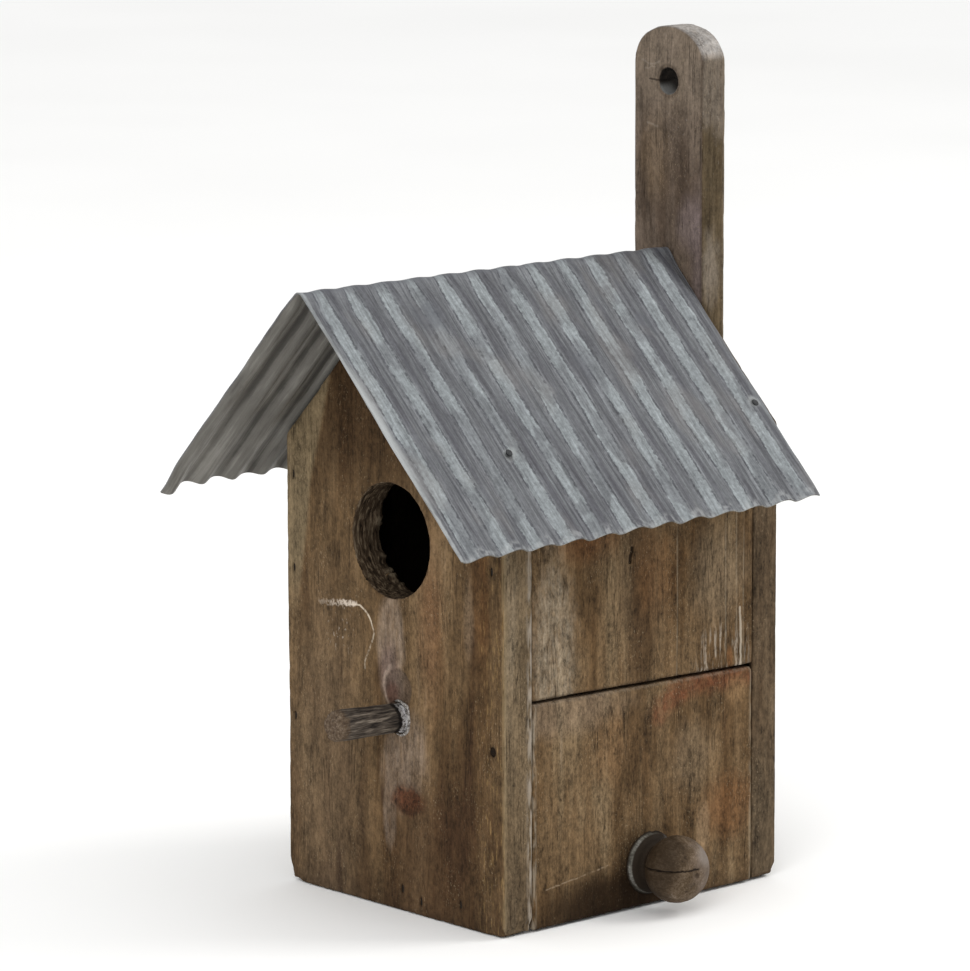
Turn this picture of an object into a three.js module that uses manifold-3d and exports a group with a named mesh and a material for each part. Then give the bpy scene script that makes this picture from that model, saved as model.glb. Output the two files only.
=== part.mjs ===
// A rustic wooden birdhouse with a folded corrugated roof, a round entrance, a twig perch,
// a hanging post up the back and a clean-out door that swings out from the bottom of one side.
// Millimetres, +Z up, the entrance faces -Y and the clean-out door is on the +X side.
// The origin is the centre of the floor board's underside.
import * as THREE from "three";
import { mergeVertices } from "three/addons/utils/BufferGeometryUtils.js";
import Module from "manifold-3d";

const wasm = await Module();
wasm.setup();

// ---------------------------------------------------------------- driving dimensions
const WIDTH = 118; // across the gable boards
const DEPTH = 135; // front face of the front board to rear face of the back board
const FRONT_T = 13.4; // front board thickness
const BACK_T = 12.0; // back board thickness
const SIDE_T = 12.0; // side panels and door
const FLOOR_T = 12.0;
const SHOULDER_R = 169.9; // where the gable slope starts, +X side
const SHOULDER_L = 167.0; // and on the -X side
const PEAK = 227.7; // gable peak
const FIT = 0.3; // clearance between pieces that touch

const HOLE_R = 20.8; // entrance hole
const HOLE_X = -1.3;
const HOLE_Z = 135.5;

const DOOR_TOP_FRONT = 83.0; // the door's top edge is cut slightly out of square
const DOOR_TOP_BACK = 81.0;
const DOOR_GAP = 1.3; // above the door
const DOOR_SIDE_GAP = 0.6;
const DOOR_BOTTOM = 0.8;
const PIVOT_X = 53.0; // pivot line through the door, parallel to Y
const PIVOT_Z = 67.1;
const PIVOT_R = 1.0; // pivot nail shank

const PERCH_R = 5.75;
const PERCH_X = 2.2;
const PERCH_Z = 71.2;
const PERCH_OUT = 31; // beyond the front face
const PERCH_TILT = THREE.MathUtils.degToRad(2.6); // its free end stands a little high

const KNOB_Y = 3.3;
const KNOB_Z = 16.2;

const POST_X = 0.6;
const POST_W = 36.5;
const POST_T = 11.4;
const POST_TOP = 310.6;
const POST_BOTTOM = 8;
const POST_ARCH = 13.3; // rise of the rounded top
const POST_HOLE_X = 0.4;
const POST_HOLE_R = 4.7;
const POST_HOLE_Z = 290.2;

const SHEET_T = 0.6; // roof sheet
const RIDGE_Z = 230.2; // where the middle planes of the two wings would meet
const SLOPE_R = THREE.MathUtils.degToRad(44.42);
const SLOPE_L = THREE.MathUtils.degToRad(45.79);
const EAVE_R = 85.4; // horizontal reach of each wing
const EAVE_L = 78.1;
const RIDGE_RADIUS = 2.8; // of the fold, to the middle of the sheet
const FADE = 13; // the corrugations reach full depth this far from the ridge
const PITCH = 14.5; // from one corrugation to the next
const VALLEY_Y = -107; // the first valley
const WAVE_H = 2.3; // valley to crest
const ROOF_FRONT = -111;
const ROOF_BACK = 67.2;
const ROOF_BACK_EAVE_R = 63.0; // the +X wing is cut a little short at the back

const FRONT_Y = -DEPTH / 2;
const BACK_Y = DEPTH / 2;
const IN_FRONT = FRONT_Y + FRONT_T; // inner faces of the gable boards
const IN_BACK = BACK_Y - BACK_T;
const HALF = WIDTH / 2;

// ---------------------------------------------------------------- solids
function solid(geometry) {
  const g = geometry.index ? geometry.toNonIndexed() : geometry.clone();
  g.deleteAttribute("normal");
  g.deleteAttribute("uv");
  const m = mergeVertices(g, 1e-4);
  const make = (tri) =>
    new wasm.Manifold(
      new wasm.Mesh({
        numProp: 3,
        vertProperties: new Float32Array(m.attributes.position.array),
        triVerts: tri,
      }),
    );
  const tri = new Uint32Array(m.index.array);
  let s = make(tri);
  if (s.volume() < 0) {
    for (let i = 0; i < tri.length; i += 3)
      [tri[i + 1], tri[i + 2]] = [tri[i + 2], tri[i + 1]];
    s = make(tri);
  }
  return s;
}

function geometryOf(s) {
  const m = s.getMesh();
  const p = new Float32Array(m.numVert * 3);
  for (let i = 0; i < m.numVert; i++)
    p.set(m.vertProperties.subarray(i * m.numProp, i * m.numProp + 3), i * 3);
  const g = new THREE.BufferGeometry();
  g.setAttribute("position", new THREE.BufferAttribute(p, 3));
  g.setIndex(new THREE.BufferAttribute(new Uint32Array(m.triVerts), 1));
  g.computeVertexNormals();
  return g;
}

const box = (x0, x1, y0, y1, z0, z1) =>
  solid(
    new THREE.BoxGeometry(x1 - x0, y1 - y0, z1 - z0).translate(
      (x0 + x1) / 2,
      (y0 + y1) / 2,
      (z0 + z1) / 2,
    ),
  );

// A cylinder or cone whose axis runs from a to b.
function rod(a, b, ra, rb = ra, sides = 16) {
  const A = new THREE.Vector3(...a);
  const B = new THREE.Vector3(...b);
  const d = B.clone().sub(A);
  const g = new THREE.CylinderGeometry(rb, ra, d.length(), sides);
  const q = new THREE.Quaternion().setFromUnitVectors(
    new THREE.Vector3(0, 1, 0),
    d.clone().normalize(),
  );
  g.applyQuaternion(q);
  const c = A.add(B).multiplyScalar(0.5);
  g.translate(c.x, c.y, c.z);
  return solid(g);
}

// An outline in X and Z, extruded along Y from y0 to y1.
function plate(points, y0, y1) {
  const shape = new THREE.Shape(points.map(([x, z]) => new THREE.Vector2(x, z)));
  const g = new THREE.ExtrudeGeometry(shape, {
    depth: y1 - y0,
    bevelEnabled: false,
    curveSegments: 24,
  });
  g.rotateX(Math.PI / 2); // the outline's second axis becomes Z
  g.translate(0, y1, 0);
  return solid(g);
}

// The same, extruded along X from x0 to x1, for an outline in Y and Z.
function plateX(points, x0, x1) {
  const shape = new THREE.Shape(points.map(([y, z]) => new THREE.Vector2(y, z)));
  const g = new THREE.ExtrudeGeometry(shape, {
    depth: x1 - x0,
    bevelEnabled: false,
  });
  g.rotateX(Math.PI / 2);
  g.rotateZ(Math.PI / 2);
  g.translate(x0, 0, 0);
  return solid(g);
}

// ---------------------------------------------------------------- materials
const wood = (c) =>
  new THREE.MeshStandardMaterial({ color: c, roughness: 0.85, metalness: 0 });
const boardWood = wood(0x6b543c);
const doorWood = wood(0x6f5a43);
const postWood = wood(0x5d4b3b);
const perchWood = wood(0x5b4f45);
const knobWood = wood(0x5c4f42);
const zinc = new THREE.MeshStandardMaterial({
  color: 0x83878b,
  roughness: 0.55,
  metalness: 0.75,
});
const nailSteel = new THREE.MeshStandardMaterial({
  color: 0x3d3a37,
  roughness: 0.6,
  metalness: 0.7,
});

// ---------------------------------------------------------------- boards
const gable = (y0, y1) =>
  plate(
    [
      [-HALF, 0],
      [HALF, 0],
      [HALF, SHOULDER_R],
      [0, PEAK],
      [-HALF, SHOULDER_L],
    ],
    y0,
    y1,
  );

const slopeR = (PEAK - SHOULDER_R) / HALF;
const slopeL = (PEAK - SHOULDER_L) / HALF;

const wooden = {};
wooden.front_board = gable(FRONT_Y, IN_FRONT).subtract(
  rod([HOLE_X, FRONT_Y - 2, HOLE_Z], [HOLE_X, IN_FRONT + 2, HOLE_Z], HOLE_R, HOLE_R, 48),
);
wooden.back_board = gable(IN_BACK, BACK_Y);

const sideFront = IN_FRONT + FIT;
const sideBack = IN_BACK - FIT;
wooden.left_side_panel = plate(
  [
    [-HALF, 0],
    [-HALF + SIDE_T, 0],
    [-HALF + SIDE_T, SHOULDER_L - 0.2 + SIDE_T * slopeL],
    [-HALF, SHOULDER_L - 0.2],
  ],
  sideFront,
  sideBack,
);

// The fixed panel above the door; its bottom edge follows the door's top edge.
const doorTopAt = (y) =>
  DOOR_TOP_FRONT +
  ((DOOR_TOP_BACK - DOOR_TOP_FRONT) * (y - sideFront)) / (sideBack - sideFront);
const rightPanelFull = plate(
  [
    [HALF - SIDE_T, 70],
    [HALF, 70],
    [HALF, SHOULDER_R - 0.2],
    [HALF - SIDE_T, SHOULDER_R - 0.2 + SIDE_T * slopeR],
  ],
  sideFront,
  sideBack,
);
wooden.right_side_panel = rightPanelFull.subtract(
  plateX(
    [
      [sideFront - 5, 60],
      [sideBack + 5, 60],
      [sideBack + 5, doorTopAt(sideBack + 5) + DOOR_GAP],
      [sideFront - 5, doorTopAt(sideFront - 5) + DOOR_GAP],
    ],
    HALF - SIDE_T - 5,
    HALF + 5,
  ),
);

wooden.floor_board = box(
  -HALF + SIDE_T + FIT,
  HALF - SIDE_T - FIT,
  IN_FRONT + FIT,
  IN_BACK - FIT,
  0,
  FLOOR_T,
);

// The clean-out door. Its outer top edge is eased so that it clears the panel above as it swings.
const doorFront = IN_FRONT + DOOR_SIDE_GAP;
const doorBack = IN_BACK - DOOR_SIDE_GAP;
const EASE = 1.0;
let door = plateX(
  [
    [doorFront, DOOR_BOTTOM],
    [doorBack, DOOR_BOTTOM],
    [doorBack, doorTopAt(doorBack)],
    [doorFront, doorTopAt(doorFront)],
  ],
  HALF - SIDE_T,
  HALF,
);
const easeWedge = solid(
  new THREE.BoxGeometry(4, DEPTH, 4)
    .rotateY(Math.PI / 4)
    .translate(HALF + Math.SQRT2 - EASE / 2, 0, Math.SQRT2 - EASE / 2),
).rotate([THREE.MathUtils.radToDeg(Math.atan2(DOOR_TOP_BACK - DOOR_TOP_FRONT, sideBack - sideFront)), 0, 0]);
door = door.subtract(easeWedge.translate([0, 0, doorTopAt(0)]));
wooden.cleanout_door = door;

// The hanging post: a straight batten with a rounded top.
const postShape = [
  [POST_X - POST_W / 2, POST_BOTTOM],
  [POST_X + POST_W / 2, POST_BOTTOM],
];
for (let i = 0; i <= 20; i++) {
  const t = (Math.PI * i) / 20;
  postShape.push([
    POST_X + (POST_W / 2) * Math.cos(t),
    POST_TOP - POST_ARCH + POST_ARCH * Math.sin(t),
  ]);
}
const POST_Y0 = BACK_Y + FIT;
const POST_Y1 = POST_Y0 + POST_T;
wooden.hanging_post = plate(postShape, POST_Y0, POST_Y1).subtract(
  rod(
    [POST_HOLE_X, POST_Y0 - 2, POST_HOLE_Z],
    [POST_HOLE_X, POST_Y1 + 2, POST_HOLE_Z],
    POST_HOLE_R,
    POST_HOLE_R,
    24,
  ),
);

// The perch: a peeled twig, pushed into a hole in the front board.
const perchDir = [0, -Math.cos(PERCH_TILT), Math.sin(PERCH_TILT)];
const along = (o, d, t) => o.map((v, i) => v + d[i] * t);
const perchAtFace = [PERCH_X, FRONT_Y, PERCH_Z];
const perchSolid = rod(
  along(perchAtFace, perchDir, -FRONT_T),
  along(perchAtFace, perchDir, PERCH_OUT),
  PERCH_R + 0.15,
  PERCH_R - 0.15,
  20,
);
wooden.front_board = wooden.front_board.subtract(
  rod(
    along(perchAtFace, perchDir, -FRONT_T - 4),
    along(perchAtFace, perchDir, 4),
    PERCH_R + 0.15 + FIT + 0.15,
    PERCH_R + 0.15 + FIT + 0.15,
    20,
  ),
);

// The knob: turned, with a flange against the door, a neck and a domed head. Its axis is X.
const knobProfile = [
  [0, 0],
  [11.2, 0],
  [11.2, 1.7],
  [10.3, 2.8],
  [8.3, 3.7],
  [7.7, 4.8],
  [8.1, 6.0],
  [9.8, 7.4],
  [11.5, 9.6],
  [12.3, 12.6],
  [12.2, 15.6],
  [11.2, 18.6],
  [9.0, 21.4],
  [6.0, 23.3],
  [3.0, 24.2],
  [0, 24.5],
].map(([r, y]) => new THREE.Vector2(r, y));
const KNOB_X = HALF + FIT;
const knobTurned = solid(
  new THREE.LatheGeometry(knobProfile, 28)
    .rotateZ(-Math.PI / 2)
    .translate(KNOB_X, KNOB_Y, KNOB_Z),
);

// ---------------------------------------------------------------- the roof sheet
// One corrugated sheet, folded over the ridge. s runs down the sheet from the ridge, + on the +X wing,
// and the corrugations flatten out where the sheet is folded.
const FOLD = SLOPE_R + SLOPE_L;
const ARC = RIDGE_RADIUS * FOLD; // length of the rounded fold
const TANGENT = RIDGE_RADIUS * Math.tan(FOLD / 2);
const LEN_R = EAVE_R / Math.cos(SLOPE_R) - TANGENT; // straight part of each wing
const LEN_L = EAVE_L / Math.cos(SLOPE_L) - TANGENT;
const S_TABLE = [
  -(ARC / 2 + LEN_L),
  -FADE,
  -9,
  -5.5,
  -ARC / 2,
  -ARC / 4,
  0,
  ARC / 4,
  ARC / 2,
  5.5,
  9,
  FADE,
  ARC / 2 + LEN_R,
];
// The centre of the rounded fold sits on the bisector of the two wings.
const foldStartL = [-TANGENT * Math.cos(SLOPE_L), RIDGE_Z - TANGENT * Math.sin(SLOPE_L)];
const foldCentre = [
  foldStartL[0] + RIDGE_RADIUS * Math.sin(SLOPE_L),
  foldStartL[1] - RIDGE_RADIUS * Math.cos(SLOPE_L),
];
// A point of the sheet's middle plane and the outward normal there, in X and Z.
function sheetPoint(s) {
  const a = THREE.MathUtils.clamp((s + ARC / 2) / ARC, 0, 1) * FOLD - SLOPE_L;
  const n = [Math.sin(a), Math.cos(a)];
  const over = s > ARC / 2 ? s - ARC / 2 : s < -ARC / 2 ? s + ARC / 2 : 0;
  return {
    x: foldCentre[0] + RIDGE_RADIUS * n[0] + Math.cos(a) * over,
    z: foldCentre[1] + RIDGE_RADIUS * n[1] - Math.sin(a) * over,
    n,
  };
}
const smooth = (t) => {
  const c = THREE.MathUtils.clamp(t, 0, 1);
  return c * c * (3 - 2 * c);
};
// How far the corrugation lifts the sheet off its middle plane.
const wave = (s, y) =>
  -smooth((Math.abs(s) - ARC / 2) / (FADE - ARC / 2)) *
  (WAVE_H / 2) *
  Math.cos((2 * Math.PI * (y - VALLEY_Y)) / PITCH);
const backEdge = (s) =>
  s > 0
    ? ROOF_BACK + ((ROOF_BACK_EAVE_R - ROOF_BACK) * s) / (ARC / 2 + LEN_R)
    : ROOF_BACK;
const PER_WAVE = 8;
const NV = Math.round(((ROOF_BACK - ROOF_FRONT) / PITCH) * PER_WAVE);
const NU = S_TABLE.length - 1;
const sheetGeometry = new THREE.BoxGeometry(NU, NV, 1, NU, NV, 1);
{
  const p = sheetGeometry.attributes.position;
  for (let i = 0; i < p.count; i++) {
    const s = S_TABLE[Math.round(p.getX(i) + NU / 2)];
    const v = (p.getY(i) + NV / 2) / NV;
    const y = ROOF_FRONT + v * (backEdge(s) - ROOF_FRONT);
    const { x, z, n } = sheetPoint(s);
    const h = wave(s, y) + (p.getZ(i) < 0 ? -SHEET_T / 2 : SHEET_T / 2);
    p.setXYZ(i, x + n[0] * h, y, z + n[1] * h);
  }
}
let roofSheet = solid(sheetGeometry);

// ---------------------------------------------------------------- fasteners
// Each one is made at its place, and the same shape, FIT larger, is cut from whatever it passes through.
const fasteners = {};
const cutters = [];

// A brad with a T-shaped head, driven along Y and set just below the surface.
const BRAD_W = 1.1;
const BRAD_H = 2.6;
const BRAD_SET = 0.5;
function brad(name, x, z, face, dir, length = 25) {
  const a = face + dir * BRAD_SET;
  const bar = (grow, h, from, to) =>
    box(
      x - BRAD_W / 2 - grow,
      x + BRAD_W / 2 + grow,
      Math.min(from, to),
      Math.max(from, to),
      z - h / 2 - grow,
      z + h / 2 + grow,
    );
  fasteners[name] = bar(0, BRAD_H, a, a + dir * 0.9).add(
    bar(0, 1.3, a, a + dir * length),
  );
  cutters.push(
    bar(FIT, BRAD_H, a - dir * 3, a + dir * (0.9 + FIT)).add(
      bar(FIT, 1.3, a, a + dir * (length + FIT)),
    ),
  );
}
brad("front_floor_brad_1", 4.0, 8.1, FRONT_Y, 1);
brad("front_floor_brad_2", 14.2, 5.2, FRONT_Y, 1);
brad("front_floor_brad_3", 35.5, 8.1, FRONT_Y, 1);
brad("front_left_brad_1", -55.2, 152.6, FRONT_Y, 1);
brad("front_left_brad_2", -55.2, 117.9, FRONT_Y, 1);
brad("front_left_brad_3", -55.2, 62.5, FRONT_Y, 1);
brad("front_right_brad", 52.5, 132.0, FRONT_Y, 1);
brad("back_floor_brad_1", -30.0, 6.5, BACK_Y, -1);
brad("back_floor_brad_2", 28.0, 6.2, BACK_Y, -1);
brad("back_left_brad_1", -54.0, 148.0, BACK_Y, -1);
brad("back_left_brad_2", -53.6, 92.0, BACK_Y, -1);
brad("back_left_brad_3", -54.2, 28.0, BACK_Y, -1);
brad("back_right_brad_1", 53.0, 146.0, BACK_Y, -1);
brad("back_right_brad_2", 53.0, 104.0, BACK_Y, -1);

// Round nails: a flat head and a shank, along any direction.
function nail(name, at, dir, shankR, headR, headT, length, set) {
  const d = new THREE.Vector3(...dir).normalize().toArray();
  const top = along(at, d, set);
  fasteners[name] = rod(top, along(top, d, headT), headR, headR, 16).add(
    rod(along(top, d, headT * 0.5), along(top, d, length), shankR, shankR * 0.92, 12),
  );
  return { top, d };
}
// The two nails that the door turns on, through the gable boards into the door's edges.
for (const [name, y, dir, t] of [
  ["pivot_nail_front", FRONT_Y, 1, FRONT_T],
  ["pivot_nail_back", BACK_Y, -1, BACK_T],
]) {
  const L = t + 13;
  nail(name, [PIVOT_X, y, PIVOT_Z], [0, dir, 0], PIVOT_R, 1.7, 0.9, L, 0.4);
  cutters.push(
    rod([PIVOT_X, y - dir * 2, PIVOT_Z], [PIVOT_X, y + dir * (0.4 + 0.9 + FIT), PIVOT_Z], 1.7 + FIT, 1.7 + FIT, 16).add(
      rod([PIVOT_X, y, PIVOT_Z], [PIVOT_X, y + dir * (L + 1.2), PIVOT_Z], PIVOT_R + FIT + 0.05, PIVOT_R + FIT + 0.05, 16),
    ),
  );
}
// Roof nails, square to each wing, into the sloped edges of the gable boards.
const wingS = (x, slope) => Math.abs(x) / Math.cos(slope) - TANGENT + ARC / 2;
for (const [name, x, y, slope] of [
  ["roof_nail_right_front", 56.6, -62.4, SLOPE_R],
  ["roof_nail_right_back", 54.3, 59.8, SLOPE_R],
  ["roof_nail_left_front", -54.0, -61.0, SLOPE_L],
  ["roof_nail_left_back", -54.0, 61.2, SLOPE_L],
]) {
  const s = Math.sign(x) * wingS(x, slope);
  const { x: px, z: pz, n } = sheetPoint(s);
  let high = -WAVE_H; // the highest part of the sheet under the head
  for (let k = -8; k <= 8; k++) high = Math.max(high, wave(s, y + k * 0.24));
  const lift = high + SHEET_T / 2 + FIT + 0.8;
  const at = [px + n[0] * lift, y, pz + n[1] * lift];
  const down = [-n[0], 0, -n[1]];
  nail(name, at, down, 0.9, 1.7, 0.8, 18, 0);
  cutters.push(rod(along(at, down, 0.9), along(at, down, 19), 0.9 + FIT, 0.9 + FIT, 12));
}
// Countersunk screws hold the post to the back board.
function screw(name, at, dir, length) {
  const d = dir;
  const a = along(at, d, 0.3);
  let s = rod(a, along(a, d, 2.4), 3.3, 1.6, 20).add(
    rod(along(a, d, 2.0), along(a, d, length), 1.6, 1.3, 12),
  );
  const slot = (w, h) =>
    box(at[0] - w / 2, at[0] + w / 2, at[1] - 1.5, at[1] + 1.5, at[2] - h / 2, at[2] + h / 2);
  s = s.subtract(slot(3.4, 0.8).add(slot(0.8, 3.4)));
  fasteners[name] = s;
  cutters.push(
    rod(along(a, d, -2), along(a, d, 0.05), 3.3 + FIT, 3.3 + FIT, 20)
      .add(rod(a, along(a, d, 2.4), 3.3 + FIT, 1.6 + FIT, 20))
      .add(rod(along(a, d, 1.5), along(a, d, length + FIT), 1.6 + FIT, 1.6 + FIT, 12)),
  );
}
screw("post_screw_upper", [POST_X, POST_Y1, 168], [0, -1, 0], 20.5);
screw("post_screw_middle", [POST_X, POST_Y1, 100], [0, -1, 0], 20.5);
screw("post_screw_lower", [POST_X, POST_Y1, 32], [0, -1, 0], 20.5);

// The knob's screw, through the door from inside.
const screwHeadX = HALF - SIDE_T - FIT;
fasteners.knob_screw = rod([screwHeadX - 1.9, KNOB_Y, KNOB_Z], [screwHeadX, KNOB_Y, KNOB_Z], 2.6, 3.3, 20)
  .add(rod([screwHeadX - 0.5, KNOB_Y, KNOB_Z], [HALF + 11, KNOB_Y, KNOB_Z], 1.6, 1.4, 12))
  .subtract(box(screwHeadX - 3, screwHeadX - 1.1, KNOB_Y - 1.7, KNOB_Y + 1.7, KNOB_Z - 0.4, KNOB_Z + 0.4))
  .subtract(box(screwHeadX - 3, screwHeadX - 1.1, KNOB_Y - 0.4, KNOB_Y + 0.4, KNOB_Z - 1.7, KNOB_Z + 1.7));
const knobScrewCut = rod([screwHeadX - 3, KNOB_Y, KNOB_Z], [HALF + 12, KNOB_Y, KNOB_Z], 1.6 + FIT, 1.6 + FIT, 12);
wooden.cleanout_door = wooden.cleanout_door.subtract(knobScrewCut);
const knobSolid = knobTurned.subtract(knobScrewCut);

for (const name of Object.keys(wooden))
  for (const c of cutters) wooden[name] = wooden[name].subtract(c);
for (const c of cutters) roofSheet = roofSheet.subtract(c);

// ---------------------------------------------------------------- the assembly
const birdhouse = new THREE.Group();
birdhouse.name = "birdhouse";

const woodLook = {
  front_board: boardWood,
  back_board: boardWood,
  left_side_panel: boardWood,
  right_side_panel: boardWood,
  floor_board: boardWood,
  hanging_post: postWood,
};
for (const [name, look] of Object.entries(woodLook)) {
  const m = new THREE.Mesh(geometryOf(wooden[name]), look);
  m.name = name;
  birdhouse.add(m);
}

const perch = new THREE.Mesh(geometryOf(perchSolid), perchWood);
perch.name = "perch";
birdhouse.add(perch);

const roof = new THREE.Group();
const sheet = new THREE.Mesh(geometryOf(roofSheet), zinc);
sheet.name = "roof_sheet";
roof.add(sheet);
birdhouse.add(roof);

// The door, its knob and the knob's screw turn together about the pivot line.
const doorGroup = new THREE.Group();
doorGroup.position.set(PIVOT_X, 0, PIVOT_Z);
for (const [name, s, look] of [
  ["cleanout_door", wooden.cleanout_door, doorWood],
  ["door_knob", knobSolid, knobWood],
  ["knob_screw", fasteners.knob_screw, nailSteel],
]) {
  const m = new THREE.Mesh(
    geometryOf(s).translate(-PIVOT_X, 0, -PIVOT_Z),
    look,
  );
  m.name = name;
  doorGroup.add(m);
}
birdhouse.add(doorGroup);

for (const [name, s] of Object.entries(fasteners)) {
  if (name === "knob_screw") continue;
  const m = new THREE.Mesh(geometryOf(s), name.startsWith("roof") ? zinc : nailSteel);
  m.name = name;
  (name.startsWith("roof") ? roof : birdhouse).add(m);
}

export default birdhouse;
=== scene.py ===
"""Visual model of the rustic birdhouse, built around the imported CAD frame. Blender 4.5, metres."""
import math

import bpy
import bmesh
import numpy as np
from mathutils import Matrix, Vector


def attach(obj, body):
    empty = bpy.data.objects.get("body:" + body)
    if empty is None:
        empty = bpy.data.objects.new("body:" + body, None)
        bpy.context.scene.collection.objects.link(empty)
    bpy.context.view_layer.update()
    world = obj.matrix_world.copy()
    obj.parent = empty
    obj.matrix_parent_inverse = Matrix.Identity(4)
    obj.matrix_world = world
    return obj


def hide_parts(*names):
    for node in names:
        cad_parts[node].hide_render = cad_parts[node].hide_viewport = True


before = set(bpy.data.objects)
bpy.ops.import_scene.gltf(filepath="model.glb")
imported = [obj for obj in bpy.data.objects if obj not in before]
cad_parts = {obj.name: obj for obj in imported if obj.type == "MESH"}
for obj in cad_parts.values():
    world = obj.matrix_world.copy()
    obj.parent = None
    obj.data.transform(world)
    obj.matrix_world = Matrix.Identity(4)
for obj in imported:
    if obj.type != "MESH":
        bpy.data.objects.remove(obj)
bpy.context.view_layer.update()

MM = 0.001

# ------------------------------------------------------------------ dimensions, mm, as in the CAD source
HALF, FY, BY = 59.0, -67.5, 67.5
IN_FRONT, IN_BACK = -54.1, 55.5
SHOULDER_R, SHOULDER_L, PEAK = 169.9, 167.0, 227.7
HOLE = (-1.3, 135.5, 20.8)
PIVOT = (53.0, 67.1)
PERCH = (2.2, 71.2, 5.75, math.radians(2.6), 31.0)
KNOB = (59.3, 3.3, 16.2)
POST_X, POST_W, POST_TOP, POST_ARCH, POST_BOTTOM = 0.6, 36.5, 310.6, 13.3, 8.0
POST_Y0, POST_Y1 = 67.8, 79.2
SLOPE_R, SLOPE_L = math.radians(44.42), math.radians(45.79)
RIDGE_Z, RIDGE_RADIUS, PITCH, VALLEY_Y, WAVE_H = 230.2, 2.8, 14.5, -107.0, 2.3
ROOF_FRONT, ROOF_BACK, ROOF_BACK_EAVE_R = -111.0, 67.2, 63.0


def door_top(y):
    return 83.0 - 2.0 * (y + 53.8) / 109.0


# ------------------------------------------------------------------ noise for shaping meshes
def vnoise(p, seed=0):
    """Smooth value noise from -1 to 1 at the rows of p."""
    p = np.asarray(p, float)
    i = np.floor(p).astype(np.int64)
    f = p - i
    u = f * f * f * (f * (f * 6 - 15) + 10)
    total = np.zeros(len(p))
    for dx in (0, 1):
        for dy in (0, 1):
            for dz in (0, 1):
                x = (i[:, 0] + dx).astype(np.uint32) * np.uint32(0x9E3779B1)
                y = (i[:, 1] + dy).astype(np.uint32) * np.uint32(0x85EBCA77)
                z = (i[:, 2] + dz).astype(np.uint32) * np.uint32(0xC2B2AE3D)
                n = x ^ y ^ z ^ np.uint32((seed * 668265263 + 374761393) & 0xFFFFFFFF)
                n ^= n >> np.uint32(15)
                n *= np.uint32(0x2C1B3C6D)
                n ^= n >> np.uint32(12)
                n *= np.uint32(0x297A2D39)
                n ^= n >> np.uint32(15)
                h = n.astype(float) / 2147483648.0 - 1.0
                w = (
                    (u[:, 0] if dx else 1 - u[:, 0])
                    * (u[:, 1] if dy else 1 - u[:, 1])
                    * (u[:, 2] if dz else 1 - u[:, 2])
                )
                total += h * w
    return total


def fbm(p, octaves=3, seed=0, gain=0.5):
    total, amp, norm = 0.0, 1.0, 0.0
    p = np.asarray(p, float)
    for k in range(octaves):
        total = total + amp * vnoise(p * 2.0**k, seed + 17 * k)
        norm += amp
        amp *= gain
    return total / norm


def smax(a, b, k):
    h = np.maximum(k - np.abs(a - b), 0) / k
    return np.maximum(a, b) + h * h * k / 4


def sstep(x, lo, hi):
    t = np.clip((x - lo) / (hi - lo), 0, 1)
    return t * t * (3 - 2 * t)


# ------------------------------------------------------------------ meshes
def new_object(name, mesh):
    o = bpy.data.objects.new(name, mesh)
    bpy.context.scene.collection.objects.link(o)
    return o


def mesh_of(name, verts, faces, smooth=True):
    me = bpy.data.meshes.new(name)
    me.from_pydata([tuple(v) for v in np.asarray(verts) * MM], [], faces)
    me.validate()
    me.update()
    if smooth:
        me.polygons.foreach_set("use_smooth", np.ones(len(me.polygons), bool))
    return me


def prism(points, y0, y1, axis="Y"):
    """A closed prism over an outline: (x, z) along Y, or (y, z) along X."""
    n = len(points)
    if axis == "Y":
        v = [(a, y0, b) for a, b in points] + [(a, y1, b) for a, b in points]
    else:
        v = [(y0, a, b) for a, b in points] + [(y1, a, b) for a, b in points]
    f = [tuple(range(n)), tuple(range(2 * n - 1, n - 1, -1))]
    f += [(i, i + n, (i + 1) % n + n, (i + 1) % n) for i in range(n)]
    me = mesh_of("prism", v, f, smooth=False)
    bm = bmesh.new()
    bm.from_mesh(me)
    bmesh.ops.recalc_face_normals(bm, faces=bm.faces)
    bm.to_mesh(me)
    bm.free()
    return me


def rod_mesh(a, b, ra, rb=None, n=24, squeeze=(1.0, 1.0)):
    """A closed cylinder or cone from a to b; squeeze scales the section along its two own axes."""
    rb = ra if rb is None else rb
    a, b = Vector(a), Vector(b)
    d = (b - a).normalized()
    helper = Vector((0, 0, 1)) if abs(d.z) < 0.9 else Vector((1, 0, 0))
    e1 = d.cross(helper).normalized()
    e2 = e1.cross(d).normalized()
    v, f = [], []
    for c, r in ((a, ra), (b, rb)):
        for k in range(n):
            t = 2 * math.pi * k / n
            v.append(tuple(c + e1 * (r * squeeze[0] * math.cos(t)) + e2 * (r * squeeze[1] * math.sin(t))))
    f = [tuple(range(n)), tuple(range(2 * n - 1, n - 1, -1))]
    f += [(k, k + n, (k + 1) % n + n, (k + 1) % n) for k in range(n)]
    me = mesh_of("rod", v, f, smooth=False)
    bm = bmesh.new()
    bm.from_mesh(me)
    bmesh.ops.recalc_face_normals(bm, faces=bm.faces)
    bm.to_mesh(me)
    bm.free()
    return me


def boolean(o, cutters, operation="DIFFERENCE"):
    """Applies cutters (meshes) to o, one after the other."""
    for me in cutters:
        c = new_object("cutter", me)
        m = o.modifiers.new("cut", "BOOLEAN")
        m.operation = operation
        m.object = c
        try:
            m.solver = "MANIFOLD"
        except TypeError:
            m.solver = "EXACT"
        dg = bpy.context.evaluated_depsgraph_get()
        made = bpy.data.meshes.new_from_object(o.evaluated_get(dg))
        o.modifiers.clear()
        old = o.data
        o.data = made
        bpy.data.meshes.remove(old)
        bpy.data.objects.remove(c)


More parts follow.
